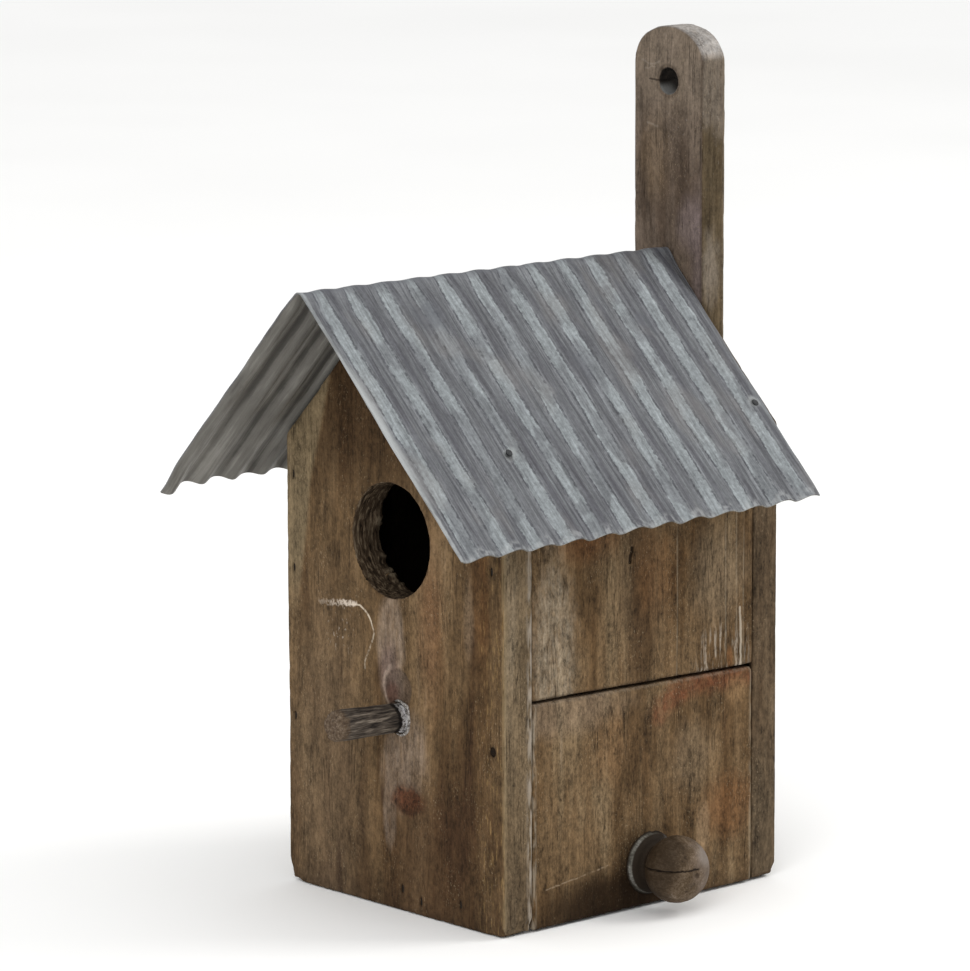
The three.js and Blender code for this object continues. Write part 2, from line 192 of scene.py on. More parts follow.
def remeshed(name, base, voxel, cut=()):
    o = new_object(name, base)
    if cut:
        boolean(o, cut)
    m = o.modifiers.new("voxels", "REMESH")
    m.mode = "VOXEL"
    m.voxel_size = voxel * MM
    m.adaptivity = 0.0
    dg = bpy.context.evaluated_depsgraph_get()
    made = bpy.data.meshes.new_from_object(o.evaluated_get(dg))
    o.modifiers.clear()
    old = o.data
    o.data = made
    bpy.data.meshes.remove(old)
    return o


def coords(me):
    co = np.zeros(len(me.vertices) * 3, np.float32)
    me.vertices.foreach_get("co", co)
    return co.reshape(-1, 3).astype(float) / MM


def set_coords(me, p):
    me.vertices.foreach_set("co", (p * MM).astype(np.float32).ravel())
    me.update()
    me.polygons.foreach_set("use_smooth", np.ones(len(me.polygons), bool))


def settle(o, prepare, rounds=3):
    """Moves each vertex onto the surface value(p) = 0; prepare(p) works out the slow fields once and returns value."""
    p = coords(o.data)
    value = prepare(p)
    e = 0.05
    for _ in range(rounds):
        v = value(p)
        g = np.stack(
            [(value(p + d) - value(p - d)) / (2 * e) for d in np.eye(3) * e], axis=1
        )
        n2 = np.maximum((g * g).sum(1), 0.15)
        step = (v / n2)[:, None] * g
        length = np.linalg.norm(step, axis=1, keepdims=True)
        step *= np.minimum(1, 1.5 / np.maximum(length, 1e-9))
        p = p - step
    set_coords(o.data, p)


def planes_value(planes, p, k):
    total = None
    for n, d in planes:
        v = p @ np.array(n, float) - d
        total = v if total is None else smax(total, v, k)
    return total


def grain(p, seed, depth=0.14):
    """How far weathering has opened the grain, mm. Vertical fibres."""
    a = vnoise(p * np.array([1 / 2.6, 1 / 2.6, 1 / 46.0]) + seed * 7.7, seed)
    b = vnoise(p * np.array([1 / 1.3, 1 / 1.3, 1 / 17.0]) + seed * 3.1, seed + 5)
    c = vnoise(p * np.array([1 / 9.0, 1 / 9.0, 1 / 60.0]), seed + 9)
    return depth * (
        0.55 * np.clip(a + 0.1, 0, 1) + 0.35 * np.clip(b, 0, 1) + 0.5 * np.clip(c + 0.2, 0, 1)
    )


def wear(p, seed, base=0.9, more=1.1):
    """Local rounding of the edges, mm, larger where they are chipped and worn."""
    a = fbm(p / np.array([9.0, 9.0, 15.0]), 2, seed + 31)
    b = vnoise(p / 3.2, seed + 40)
    return base + more * np.clip(a, 0, 1) ** 1.3 * 1.6 + 0.5 * np.clip(b, 0, 1)


def ends(z, top=None):
    """Extra wear near the ground."""
    return 0.35 * (1 - sstep(z, 0.0, 9.0))


def board(name, base, planes, voxel, seed, holes=(), cut=(), extra=None, depth=0.16, base_wear=0.7, more_wear=0.9, crisp=None):
    """A worn board: the outline's planes, rounded by wear, and grain opened inwards. Never outside the planes."""
    o = remeshed(name, base, voxel, cut=[rod_mesh(*h[0]) for h in holes])

    def prepare(p):
        k = wear(p, seed, base=base_wear, more=more_wear) + ends(p[:, 2])
        if crisp is not None:
            near = sstep(np.abs(p[:, 1] - crisp), 3.0, 1.5) * sstep(p[:, 0], 55.0, 57.0)
            k = k * (1 - near) + 0.2 * near
        d = grain(p, seed, depth)
        if extra is not None:
            d = d + extra(p)
        fs = [f(p) for _, f in holes]

        def value(q):
            v = planes_value(planes, q, k)
            for f in fs:
                v = smax(v, f(q), 1.1)
            return v + d

        return value

    settle(o, prepare)
    if cut:
        boolean(o, cut)
    o.data.polygons.foreach_set("use_smooth", np.ones(len(o.data.polygons), bool))
    return o


# ------------------------------------------------------------------ a small compiler for shader nodes
def lin(c):
    """sRGB 0..255 to linear."""
    out = []
    for v in c:
        v = v / 255.0
        out.append(v / 12.92 if v <= 0.04045 else ((v + 0.055) / 1.055) ** 2.4)
    return tuple(out)


class S:
    """A value socket that does arithmetic."""

    def __init__(self, g, s):
        self.g, self.s = g, s

    def __add__(self, b):
        return self.g.math("ADD", self, b)

    __radd__ = __add__

    def __sub__(self, b):
        return self.g.math("SUBTRACT", self, b)

    def __rsub__(self, b):
        return self.g.math("SUBTRACT", b, self)

    def __mul__(self, b):
        return self.g.math("MULTIPLY", self, b)

    __rmul__ = __mul__

    def __truediv__(self, b):
        return self.g.math("DIVIDE", self, b)

    def __neg__(self):
        return self.g.math("MULTIPLY", self, -1.0)

    def abs(self):
        return self.g.math("ABSOLUTE", self)

    def min(self, b):
        return self.g.math("MINIMUM", self, b)

    def max(self, b):
        return self.g.math("MAXIMUM", self, b)

    def pow(self, b):
        return self.g.math("POWER", self, b)

    def step(self, lo, hi):
        return self.g.step(self, lo, hi)


class G:
    def __init__(self, name):
        m = bpy.data.materials.new(name)
        m.use_nodes = True
        self.m, self.nt = m, m.node_tree
        self.nt.nodes.clear()
        self.out = self.node("ShaderNodeOutputMaterial")
        self.bsdf = self.node("ShaderNodeBsdfPrincipled")
        self.link(self.bsdf.outputs[0], self.out.inputs[0])
        tc = self.node("ShaderNodeTexCoord")
        vm = self.node("ShaderNodeVectorMath")
        vm.operation = "SCALE"
        vm.inputs[3].default_value = 1000.0
        self.link(tc.outputs["Object"], vm.inputs[0])
        sep = self.node("ShaderNodeSeparateXYZ")
        self.link(vm.outputs[0], sep.inputs[0])
        self.x, self.y, self.z = (S(self, sep.outputs[i]) for i in range(3))
        self.seed = 0

    def node(self, kind):
        return self.nt.nodes.new(kind)

    def link(self, a, b):
        self.nt.links.new(a, b)

    def put(self, value, socket):
        if isinstance(value, S):
            self.link(value.s, socket)
        elif isinstance(value, (tuple, list)):
            socket.default_value = (*value[:3], 1.0) if len(socket.default_value) == 4 else value
        elif hasattr(value, "node"):
            self.link(value, socket)
        else:
            socket.default_value = value

    def math(self, op, a, b=None, c=None):
        n = self.node("ShaderNodeMath")
        n.operation = op
        self.put(a, n.inputs[0])
        if b is not None:
            self.put(b, n.inputs[1])
        if c is not None:
            self.put(c, n.inputs[2])
        return S(self, n.outputs[0])

    def step(self, v, lo, hi):
        n = self.node("ShaderNodeMapRange")
        n.interpolation_type = "SMOOTHSTEP"
        self.put(v, n.inputs["Value"])
        rising = hi > lo
        n.inputs["From Min"].default_value = lo if rising else hi
        n.inputs["From Max"].default_value = hi if rising else lo
        n.inputs["To Min"].default_value = 0.0 if rising else 1.0
        n.inputs["To Max"].default_value = 1.0 if rising else 0.0
        return S(self, n.outputs["Result"])

    def vec(self, x, y, z):
        n = self.node("ShaderNodeCombineXYZ")
        for k, v in enumerate((x, y, z)):
            self.put(v, n.inputs[k])
        return n.outputs[0]

    def noise(self, sx, sy, sz, detail=2.0, rough=0.5, dist=0.0, off=None, x=None, y=None, z=None):
        """Noise from 0 to 1 whose cells are about sx, sy and sz mm."""
        self.seed += 1
        o = (self.seed * 13.37) if off is None else off
        x = self.x if x is None else x
        y = self.y if y is None else y
        z = self.z if z is None else z
        v = self.vec(x * (1.0 / sx) + o, y * (1.0 / sy) + o * 0.7, z * (1.0 / sz) - o * 0.3)
        n = self.node("ShaderNodeTexNoise")
        n.inputs["Scale"].default_value = 1.0
        n.inputs["Detail"].default_value = detail
        n.inputs["Roughness"].default_value = rough
        n.inputs["Distortion"].default_value = dist
        self.link(v, n.inputs["Vector"])
        return S(self, n.outputs["Fac"] if "Fac" in n.outputs else n.outputs[0])

    def mix(self, f, a, b, mode="MIX"):
        n = self.node("ShaderNodeMix")
        n.data_type = "RGBA"
        n.blend_type = mode
        n.clamp_factor = True
        self.put(f, n.inputs[0])
        self.put(a, n.inputs[6])
        self.put(b, n.inputs[7])
        return n.outputs[2]

    def ramp(self, v, stops):
        n = self.node("ShaderNodeValToRGB")
        cr = n.color_ramp
        cr.interpolation = "EASE"
        while len(cr.elements) < len(stops):
            cr.elements.new(0.5)
        for e, (at, c) in zip(cr.elements, stops):
            e.position = at
            e.color = (*lin(c), 1.0)
        self.put(v, n.inputs[0])
        return n.outputs[0]

    def scale_colour(self, c, k):
        """Colour times a value socket or number."""
        n = self.node("ShaderNodeVectorMath")
        n.operation = "SCALE"
        self.put(c, n.inputs[0])
        self.put(k, n.inputs[3])
        return n.outputs[0]

    def blob(self, u, v, u0, v0, ru, rv, soft=0.35, wobble=0.25, cell=6.0):
        """1 inside an uneven ellipse."""
        w = self.noise(cell, cell, cell * 1.6, 2.0)
        du, dv = (u - u0) * (1.0 / ru), (v - v0) * (1.0 / rv)
        d = (du * du + dv * dv).pow(0.5) + (w - 0.5) * (2 * wobble)
        return d.step(1.0 + soft, 1.0 - soft)

    def line(self, u, v, pts, width, soft=0.5, wobble=0.0, cell=3.0):
        """1 along a polyline."""
        best = None
        if wobble:
            u = u + (self.noise(cell, cell, cell, 2.0) - 0.5) * wobble
            v = v + (self.noise(cell, cell, cell, 2.0) - 0.5) * wobble
        for (x0, y0), (x1, y1) in zip(pts, pts[1:]):
            dx, dy = x1 - x0, y1 - y0
            ll = dx * dx + dy * dy
            t = ((u - x0) * (dx / ll) + (v - y0) * (dy / ll)).max(0.0).min(1.0)
            a, b = u - x0 - t * dx, v - y0 - t * dy
            d = (a * a + b * b).pow(0.5)
            best = d if best is None else best.min(d)
        return best.step(width * (1 + soft), width * (1 - soft))

    def finish(self, colour, rough, height=None, metallic=None, spec=0.35, strength=1.0):
        self.put(colour, self.bsdf.inputs["Base Color"])
        self.put(rough, self.bsdf.inputs["Roughness"])
        self.bsdf.inputs["Specular IOR Level"].default_value = spec
        if metallic is not None:
            self.put(metallic, self.bsdf.inputs["Metallic"])
        if height is not None:
            b = self.node("ShaderNodeBump")
            b.inputs["Strength"].default_value = strength
            b.inputs["Distance"].default_value = 0.001
            self.put(height, b.inputs["Height"])
            self.link(b.outputs[0], self.bsdf.inputs["Normal"])
        return self.m


# ------------------------------------------------------------------ weathered wood
def wood_base(g, tones, streak=1.0, along="z", tilt=0.0):
    """Colour and height of weathered board: streaks at several widths, pores, hairline cracks and dust."""
    x, y, z = g.x, g.y, g.z
    if along == "x":
        x, z = z, x
    if along == "y":
        y, z = z, y
    bend = (g.noise(60, 60, 60, 1.0) - 0.5) * 7.0
    xs = x + bend + z * tilt
    broad = g.noise(13, 13, 110, 2.0, 0.5, x=xs, y=y, z=z)
    mid = g.noise(3.4, 3.4, 60, 3.0, 0.6, x=xs, y=y, z=z)
    fine = g.noise(0.95, 0.95, 17, 3.0, 0.65, x=xs, y=y, z=z)
    mott = g.noise(0.85, 0.85, 1.5, 3.0, 0.7, x=xs, y=y, z=z)
    blotch = g.noise(26, 26, 38, 2.0, 0.55)
    tone = broad * 0.5 + mid * 0.22 + blotch * 0.28
    colour = g.ramp((tone - 0.5) * (2.6 * streak) + 0.5, tones)
    m2 = g.noise(2.4, 2.4, 3.6, 3.0, 0.65)
    cloud = g.noise(8, 8, 24, 2.0, 0.6)
    g.detail = ((fine - 0.5) * 1.0 + (mott - 0.5) * 1.9 + (m2 - 0.5) * 1.6 + (cloud - 0.5) * 1.5 + 1.0).max(0.3)
    hair = g.noise(1.6, 1.6, 42, 2.0, 0.5, x=xs, y=y, z=z)
    crack = (hair - 0.5).abs().step(0.02, 0.004) * g.noise(7, 7, 26, 1.0).step(0.52, 0.64)
    pore = g.noise(0.65, 0.65, 1.5, 1.0).step(0.64, 0.78) * g.noise(8, 8, 22, 1.0).step(0.40, 0.60)
    dust = g.noise(0.6, 0.6, 1.0, 2.0).step(0.60, 0.72) * g.noise(11, 11, 26, 2.0).step(0.45, 0.62)
    g.marks = [(crack * 0.6, (32, 23, 15)), (pore * 0.42, (42, 32, 21)), (dust * 0.36, (168, 150, 122))]
    height = mid * 0.12 + fine * 0.16 + mott * 0.12 + m2 * 0.12 - crack * 0.3 - pore * 0.15
    return colour, height


def wood_detail(g, c, tint=(0.88, 0.825, 0.76), gain=1.0):
    """Fibre detail over everything so far."""
    n = g.node("ShaderNodeVectorMath")
    n.operation = "MULTIPLY"
    g.put(c, n.inputs[0])
    n.inputs[1].default_value = tint
    c = g.scale_colour(n.outputs[0], (g.detail - 1.0) * gain + 1.0)
    for mask, tone in g.marks:
        c = g.mix(mask * gain, c, lin(tone))
    return c


BROWN = [(0.05, (66, 49, 34)), (0.32, (84, 66, 46)), (0.55, (99, 81, 59)), (0.78, (116, 97, 73)), (0.97, (132, 114, 92))]
SIDE = [(0.05, (68, 51, 34)), (0.32, (88, 70, 49)), (0.55, (104, 86, 64)), (0.78, (121, 104, 81)), (0.97, (136, 121, 101))]
DARKER = [(0.05, (58, 46, 35)), (0.35, (77, 64, 50)), (0.6, (92, 79, 63)), (0.95, (118, 103, 84))]
POSTC = [(0.05, (60, 49, 41)), (0.35, (80, 68, 58)), (0.6, (96, 84, 74)), (0.95, (124, 112, 102))]


def edge_light(g, colour, masks, tone=(150, 132, 106), amount=0.5):
    for m in masks:
        breakup = g.noise(1.5, 1.5, 9, 2.0).step(0.38, 0.62)
        colour = g.mix(m * breakup * amount, colour, lin(tone))
    return colour


def front_material():
    g = G("front_board_wood")
    x, z, y = g.x, g.z, g.y
    c, h = wood_base(g, BROWN)
    wob = (g.noise(7, 7, 30, 2.0) - 0.5) * 5.0
    # paler sapwood strip along the upper left edge, with a slanting border
    border = g.math("MULTIPLY_ADD", z, 0.155, -68.8) + (z - 150.0).max(0.0) * 0.12
    strip = (x - border + wob * 0.35).step(1.5, -1.5) * z.step(95, 125)
    c = g.mix(strip * 0.8, c, lin((118, 107, 86)))
    # darker under the gable, and along the foot
    c = g.mix(z.step(132, 178) * 0.82 * (1.0 - strip), c, lin((61, 46, 31)))
    c = g.mix(z.step(17, 0) * 0.52, c, lin((48, 35, 26)))
    c = g.mix((x + wob - 6.0).step(-9, 5) * z.step(84, 20) * 0.30, c, lin((62, 46, 32)))
    # a reddish streak beside the entrance
    red = g.blob(x + wob * 0.4, z, 20.0, 108.0, 5.5, 26.0, 0.8, 0.5)
    c = g.mix(red * 0.26, c, lin((112, 70, 48)))
    c = g.mix(g.blob(x + wob * 0.4, z, 47.5, 122, 4.0, 24.0, 0.5, 0.3) * 0.28, c, lin((110, 74, 42)))
    # a pale chalky smear that runs down past the perch
    up = g.blob(x + wob * 0.5, z, -1.2, 96.0, 7.2, 22.0, 0.22, 0.22)
    low = g.blob(x + wob * 0.5 - (58 - z) * -0.16, z, 6.5, 55.0, 11.5, 17.0, 0.3, 0.3)
    tail = g.blob(x + wob * 0.3, z, -2.6, 37.0, 3.6, 14.0, 0.3, 0.25)
    smear = up.max(low).max(tail * 0.85)
    c = g.mix(smear * (g.noise(2, 2, 9, 3.0, 0.65) * 1.5 - 0.16).max(0.1).min(1.0), c, lin((131, 118, 106)))
    mauve = g.blob(x, z, -2.5, 88.0, 5.0, 9.0, 0.5, 0.2)
    c = g.mix(mauve * 0.4, c, lin((121, 104, 104)))
    # a torn tongue of bare wood over the perch, with a pale lifted rim
    tongue = g.blob(x, z, 2.2, 81.6, 6.8, 7.4, 0.12, 0.14, 5.0)
    rim = g.blob(x, z, 1.5, 82.3, 7.5, 8.4, 0.08, 0.14, 5.0)
    c = g.mix((rim - tongue).max(0.0) * x.step(1.5, -4.5) * 0.7, c, lin((160, 146, 136)))
    c = g.mix(tongue * 0.62, c, lin((88, 77, 70)))
    c = g.mix(tongue * g.blob(x, z, -1.6, 79.0, 3.6, 4.4, 0.5, 0.3, 4.0) * 0.55, c, lin((84, 54, 46)))
    # the knot and the stain round it
    ring = g.noise(2.2, 2.2, 2.2, 2.0, 0.6, 0.6)
    kn = g.blob(x, z, 7.6, 41.5, 8.2, 5.0, 0.34, 0.36, 4.0)
    c = g.mix(kn * 0.9, c, g.ramp(ring, [(0.36, (50, 30, 20)), (0.5, (98, 60, 42)), (0.66, (74, 49, 34))]))
    c = g.mix(g.line(x, z, [(0.5, 40.0), (4.0, 37.2), (9.0, 36.6), (14.0, 39.0)], 0.9, 0.6, 2.0, 4.0) * 0.5, c, lin((46, 32, 22)))
    c = g.mix(g.blob(x, z, 16.0, 27.0, 15.0, 25.0, 0.6, 0.3) * 0.46, c, lin((64, 46, 32)))
    c = g.mix(g.blob(x, z, -38.0, 44.0, 19.0, 62.0, 0.6, 0.3) * 0.34, c, lin((114, 101, 85)))
    # speckled yellow streaks near the right edge
    sp = g.noise(0.8, 0.8, 5.5, 2.0, 0.6).step(0.54, 0.66) * (x - 47.0).step(-5, 3)
    c = g.mix(sp * 0.42, c, lin((148, 124, 84)))
    dk = g.noise(1.6, 1.6, 18, 2.0, 0.6).step(0.50, 0.62) * (x - 44.0).step(-8, 6)
    c = g.mix(dk * 0.38, c, lin((62, 46, 30)))
    c = g.mix(g.blob(x, z, 40.5, 112.0, 2.4, 13.0, 0.6, 0.4) * 0.35, c, lin((150, 132, 112)))
    c = wood_detail(g, c, gain=0.84)
    # white paint: a blotch that ends in a thin hooked scratch, and a few specks under it
    hook = g.line(x, z, [(-23.0, 109.2), (-18.3, 109.4), (-14.5, 107.1), (-12.3, 104.5), (-10.7, 99.9), (-12.9, 94.4), (-15.7, 89.5), (-15.8, 86.6)], 0.36, 0.45, 1.1, 3.0)
    faint = g.noise(1.2, 1.2, 2.2, 2.0).step(0.34, 0.56) * 0.55 + z.step(98, 106) * 0.45
    c = g.mix(hook * faint * 0.8, c, lin((204, 190, 170)))
    dab = g.line(x, z, [(-40.5, 107.6), (-33, 108.1), (-27.5, 108.9), (-21.0, 109.5)], 0.95, 0.5, 2.6, 1.6)
    dab = dab * ((x + 34.0).step(-6, 8) * 0.75 + 0.25) * g.noise(0.9, 0.9, 1.3, 2.0).step(0.36, 0.52)
    c = g.mix(dab * 0.75, c, lin((214, 200, 184)))
    specks = g.noise(0.9, 0.9, 1.6, 2.0).step(0.62, 0.72) * g.blob(x, z, -29.5, 99.0, 7.5, 9.0, 0.5, 0.3)
    c = g.mix(specks * 0.5, c, lin((176, 164, 150)))
    # dark brads' surroundings, a stain at the foot and a few scratches
    for (a, b, r) in ((52.5, 132, 1.7), (53.0, 67.1, 1.9), (-55.2, 152.6, 1.4), (-55.2, 117.9, 1.4), (-55.2, 62.5, 1.4), (4, 8.1, 1.5), (14.2, 5.2, 1.2), (35.5, 8.1, 1.5)):
        c = g.mix(g.blob(x, z, a, b, r * 0.8, r * 1.6, 0.6, 0.35, 3.0) * 0.5, c, lin((40, 30, 20)))
    c = g.mix(g.blob(x, z, -31.3, 9.0, 1.6, 9.5, 0.6, 0.4, 3.0) * 0.5, c, lin((48, 33, 25)))
    c = g.mix(g.blob(x, z, -6.9, 41.5, 0.9, 3.4, 0.6, 0.3, 3.0) * 0.6, c, lin((58, 42, 32)))
    # worn pale corner
    corner = (x + y * -1.0 - 125.4).step(-0.5, 0.6) * g.noise(1.0, 1.0, 11, 2.0).step(0.30, 0.52)
    c = g.mix(corner * 0.4, c, lin((150, 130, 98)))
    left = (-x - 58.3).step(-0.4, 0.5)
    c = g.mix(left * 0.3, c, lin((122, 108, 84)))
    h = h + dab * 0.12 + hook * 0.08 + (rim - tongue).max(0.0) * 0.2 - tongue * 0.25
    return g.finish(c, 0.82, h, spec=0.08)


def bore_material():
    """Dark raw fibre inside the entrance, with painted shade deepening towards the back of the hole."""
    g = G("entrance_bore_wood")
    fib = g.noise(2.0, 1.1, 9.0, 3.0, 0.65)
    c = g.ramp((fib - 0.5) * 2.4 + 0.5, [(0.1, (24, 18, 12)), (0.45, (63, 51, 39)), (0.9, (112, 98, 80))])
    # painted shade: darker towards the back of the hole
    c = g.mix(g.y.step(-64.0, -56.0) * 0.4, c, lin((20, 15, 10)))
    ex, ez = g.x - HOLE[0], g.z - HOLE[1]
    c = g.mix((ex * ex + ez * ez).pow(0.5).step(20.2, 19.2) * (g.noise(1.2, 1.2, 1.2, 2.0) * 0.9), c, lin((118, 106, 88)))
    return g.finish(c, 0.85, fib * 0.5, spec=0.05)


def edge_material():
    """The front board's narrow edge: tan grey, chalky at the joint, darker low down."""
    g = G("front_edge_wood")
    y, z = g.y, g.z
    c, h = wood_base(g, [(0.05, (84, 70, 52)), (0.4, (106, 92, 73)), (0.7, (122, 109, 91)), (0.97, (146, 134, 116))])
    c = g.mix(z.step(95, 60) * 0.3, c, lin((88, 73, 55)))
    c = g.mix(z.step(40, 6) * 0.4, c, lin((66, 54, 42)))
    c = g.mix(g.blob(y, z, -59.0, 148.0, 5.0, 14.0, 0.6, 0.3) * 0.5, c, lin((92, 74, 52)))
    c = g.mix(z.step(140, 164) * 0.5, c, lin((66, 53, 38)))
    c = wood_detail(g, c, (0.93, 0.905, 0.86))
    joint = (y + 55.6).step(-1.8, 0.9) * g.noise(1.2, 1.2, 8, 2.0).step(0.36, 0.62)
    c = g.mix(joint * 0.72, c, lin((160, 150, 137)))
    corner = (y + 66.4).step(0.9, -0.6) * g.noise(1.0, 1.0, 11, 2.0).step(0.30, 0.52)
    c = g.mix(corner * 0.35, c, lin((150, 130, 98)))
    return g.finish(c, 0.82, h, spec=0.08)


def plain_board(name, tones, low=0.3, along="z", tweak=None, spec=0.08, tint=(0.87, 0.82, 0.75), gain=1.0):
    g = G(name)
    c, h = wood_base(g, tones, along=along)
    c = g.mix(g.z.step(18, 0) * low, c, lin((50, 38, 28)))
    over = []
    if tweak is not None:
        c, h = tweak(g, c, h, over)
    c = wood_detail(g, c, tint, gain)
    for mask, tone in over:
        c = g.mix(mask, c, lin(tone))
    return g.finish(c, g.noise(4, 4, 20, 2.0) * 0.16 + 0.74, h, spec=spec)


def left_tweak(g, c, h, over):
    # painted shade: the panel's inside face is painted nearly black
    over.append((g.x.step(-48.4, -47.2) * 0.93, (8, 6, 4)))
    return c, h


def back_tweak(g, c, h, over):
    x, y, z = g.x, g.y, g.z
    edge = x.step(58.2, 58.75)
    c = g.mix(edge * 0.75, c, g.ramp(g.noise(2.4, 2.4, 26, 3.0, 0.6), [(0.25, (66, 54, 41)), (0.5, (86, 73, 58)), (0.8, (112, 99, 82))]))
    low = edge * z.step(60, 20)
    c = g.mix(low * 0.4, c, lin((82, 74, 62)))
    corner = (x + y - 125.5).step(-0.4, 0.5) * g.noise(1, 1, 9, 2.0).step(0.4, 0.6)
    c = g.mix(corner * 0.35, c, lin((118, 106, 88)))
    for (a, b) in ((-54.0, 148.0), (-53.6, 92.0), (-54.2, 28.0), (53.0, 146.0), (53.0, 104.0), (-30.0, 6.5), (28.0, 6.2)):
        c = g.mix(g.blob(x, z, a, b, 1.4, 2.8, 0.6, 0.35, 3.0) * y.step(66.0, 67.0) * 0.6, c, lin((38, 28, 20)))
    # painted shade: the inside faces of the box are painted nearly black
    over.append((y.step(58.5, 56.0) * x.step(58.0, 56.0) * 0.93, (8, 6, 4)))
    return c, h


def side_tweak(g, c, h, over):
    """The fixed panel over the door."""
    y, z = g.y, g.z
    wob = (g.noise(6, 6, 24, 2.0) - 0.5) * 5.0
    pale = g.blob(y + wob, z, -43.0, 100.0, 10.0, 34.0, 0.35, 0.3)
    c = g.mix(pale * (g.noise(1.8, 1.8, 5, 3.0, 0.65) * 1.8 - 0.3).max(0.1).min(1.0), c, lin((143, 133, 118)))
    c = g.mix(g.blob(y + wob, z, -3.0, 118.0, 9.0, 36.0, 0.6, 0.3) * 0.52, c, lin((68, 53, 39)))
    c = g.mix(g.blob(y + wob, z, -27, 141.0, 15.0, 9.0, 0.5, 0.3) * 0.30, c, lin((116, 72, 42)))
    c = g.mix(g.blob(y + wob, z, 8, 122.0, 9.0, 14.0, 0.8, 0.5) * 0.3, c, lin((120, 84, 52)))
    c = g.mix(g.blob(y + wob, z, 38.0, 118.0, 13.0, 17.0, 0.5, 0.3) * 0.34, c, lin((136, 124, 106)))
    c = g.mix(z.step(150, 172) * 0.4, c, lin((58, 44, 32)))
    # old white paint, dragged down the grain, low at the right
    st = g.noise(1.5, 1.5, 15, 2.0, 0.55).step(0.50, 0.60)
    zone = g.blob(y, z, 40.5, 85.5, 13.0, 12.5, 0.35, 0.35, 5.0)
    over.append((st * zone * (g.noise(0.9, 0.9, 2.0, 2.0).step(0.25, 0.6) * 0.48), (180, 168, 152)))
    st2 = g.line(y, z, [(48.6, 104), (49.0, 96), (49.2, 82)], 0.5, 0.5, 1.2, 4.0)
    over.append((st2 * 0.5, (196, 184, 166)))
    # a chip of bare orange wood amongst it
    c = g.mix(g.blob(y, z, 43.5, 86.0, 1.4, 4.2, 0.4, 0.3, 3.0) * 0.42, c, lin((130, 90, 58)))
    # long straight scores near the back edge
    for (a, t, wd) in ((46.9, 0.0, 0.22), (16.6, 0.0, 0.2), (50.4, 0.0, 0.18), (41.2, 0.0, 0.18)):
        ln = (y + (g.noise(30, 30, 60, 1.0) - 0.5) * 1.6 - a).abs().step(wd * 2.2, wd * 0.6)
        over.append((ln * 0.32 * g.noise(3, 3, 9, 2.0).step(0.3, 0.6), (150, 138, 118)))
        ln2 = (y + (g.noise(30, 30, 60, 1.0) - 0.5) * 1.6 - a - 0.7).abs().step(wd * 2.4, wd * 0.6)
        over.append((ln2 * 0.3, (50, 38, 26)))
        h = h + ln * 0.05 - ln2 * 0.12
    # a short dark gouge
    g1 = g.line(y, z, [(-5.2, 133.2), (-6.2, 128.2)], 0.55, 0.5, 0.5, 2.0)
    c = g.mix(g1 * 0.9, c, lin((24, 17, 12)))
    h = h - g1 * 0.8
    foot = (z - 84.3 + (y + 53.8) * 0.01835).step(1.2, 0.2) * g.noise(1.2, 1.2, 1.2, 1.0).step(0.3, 0.5)
    c = g.mix(foot * 0.5, c, lin((50, 38, 28)))
    return c, h


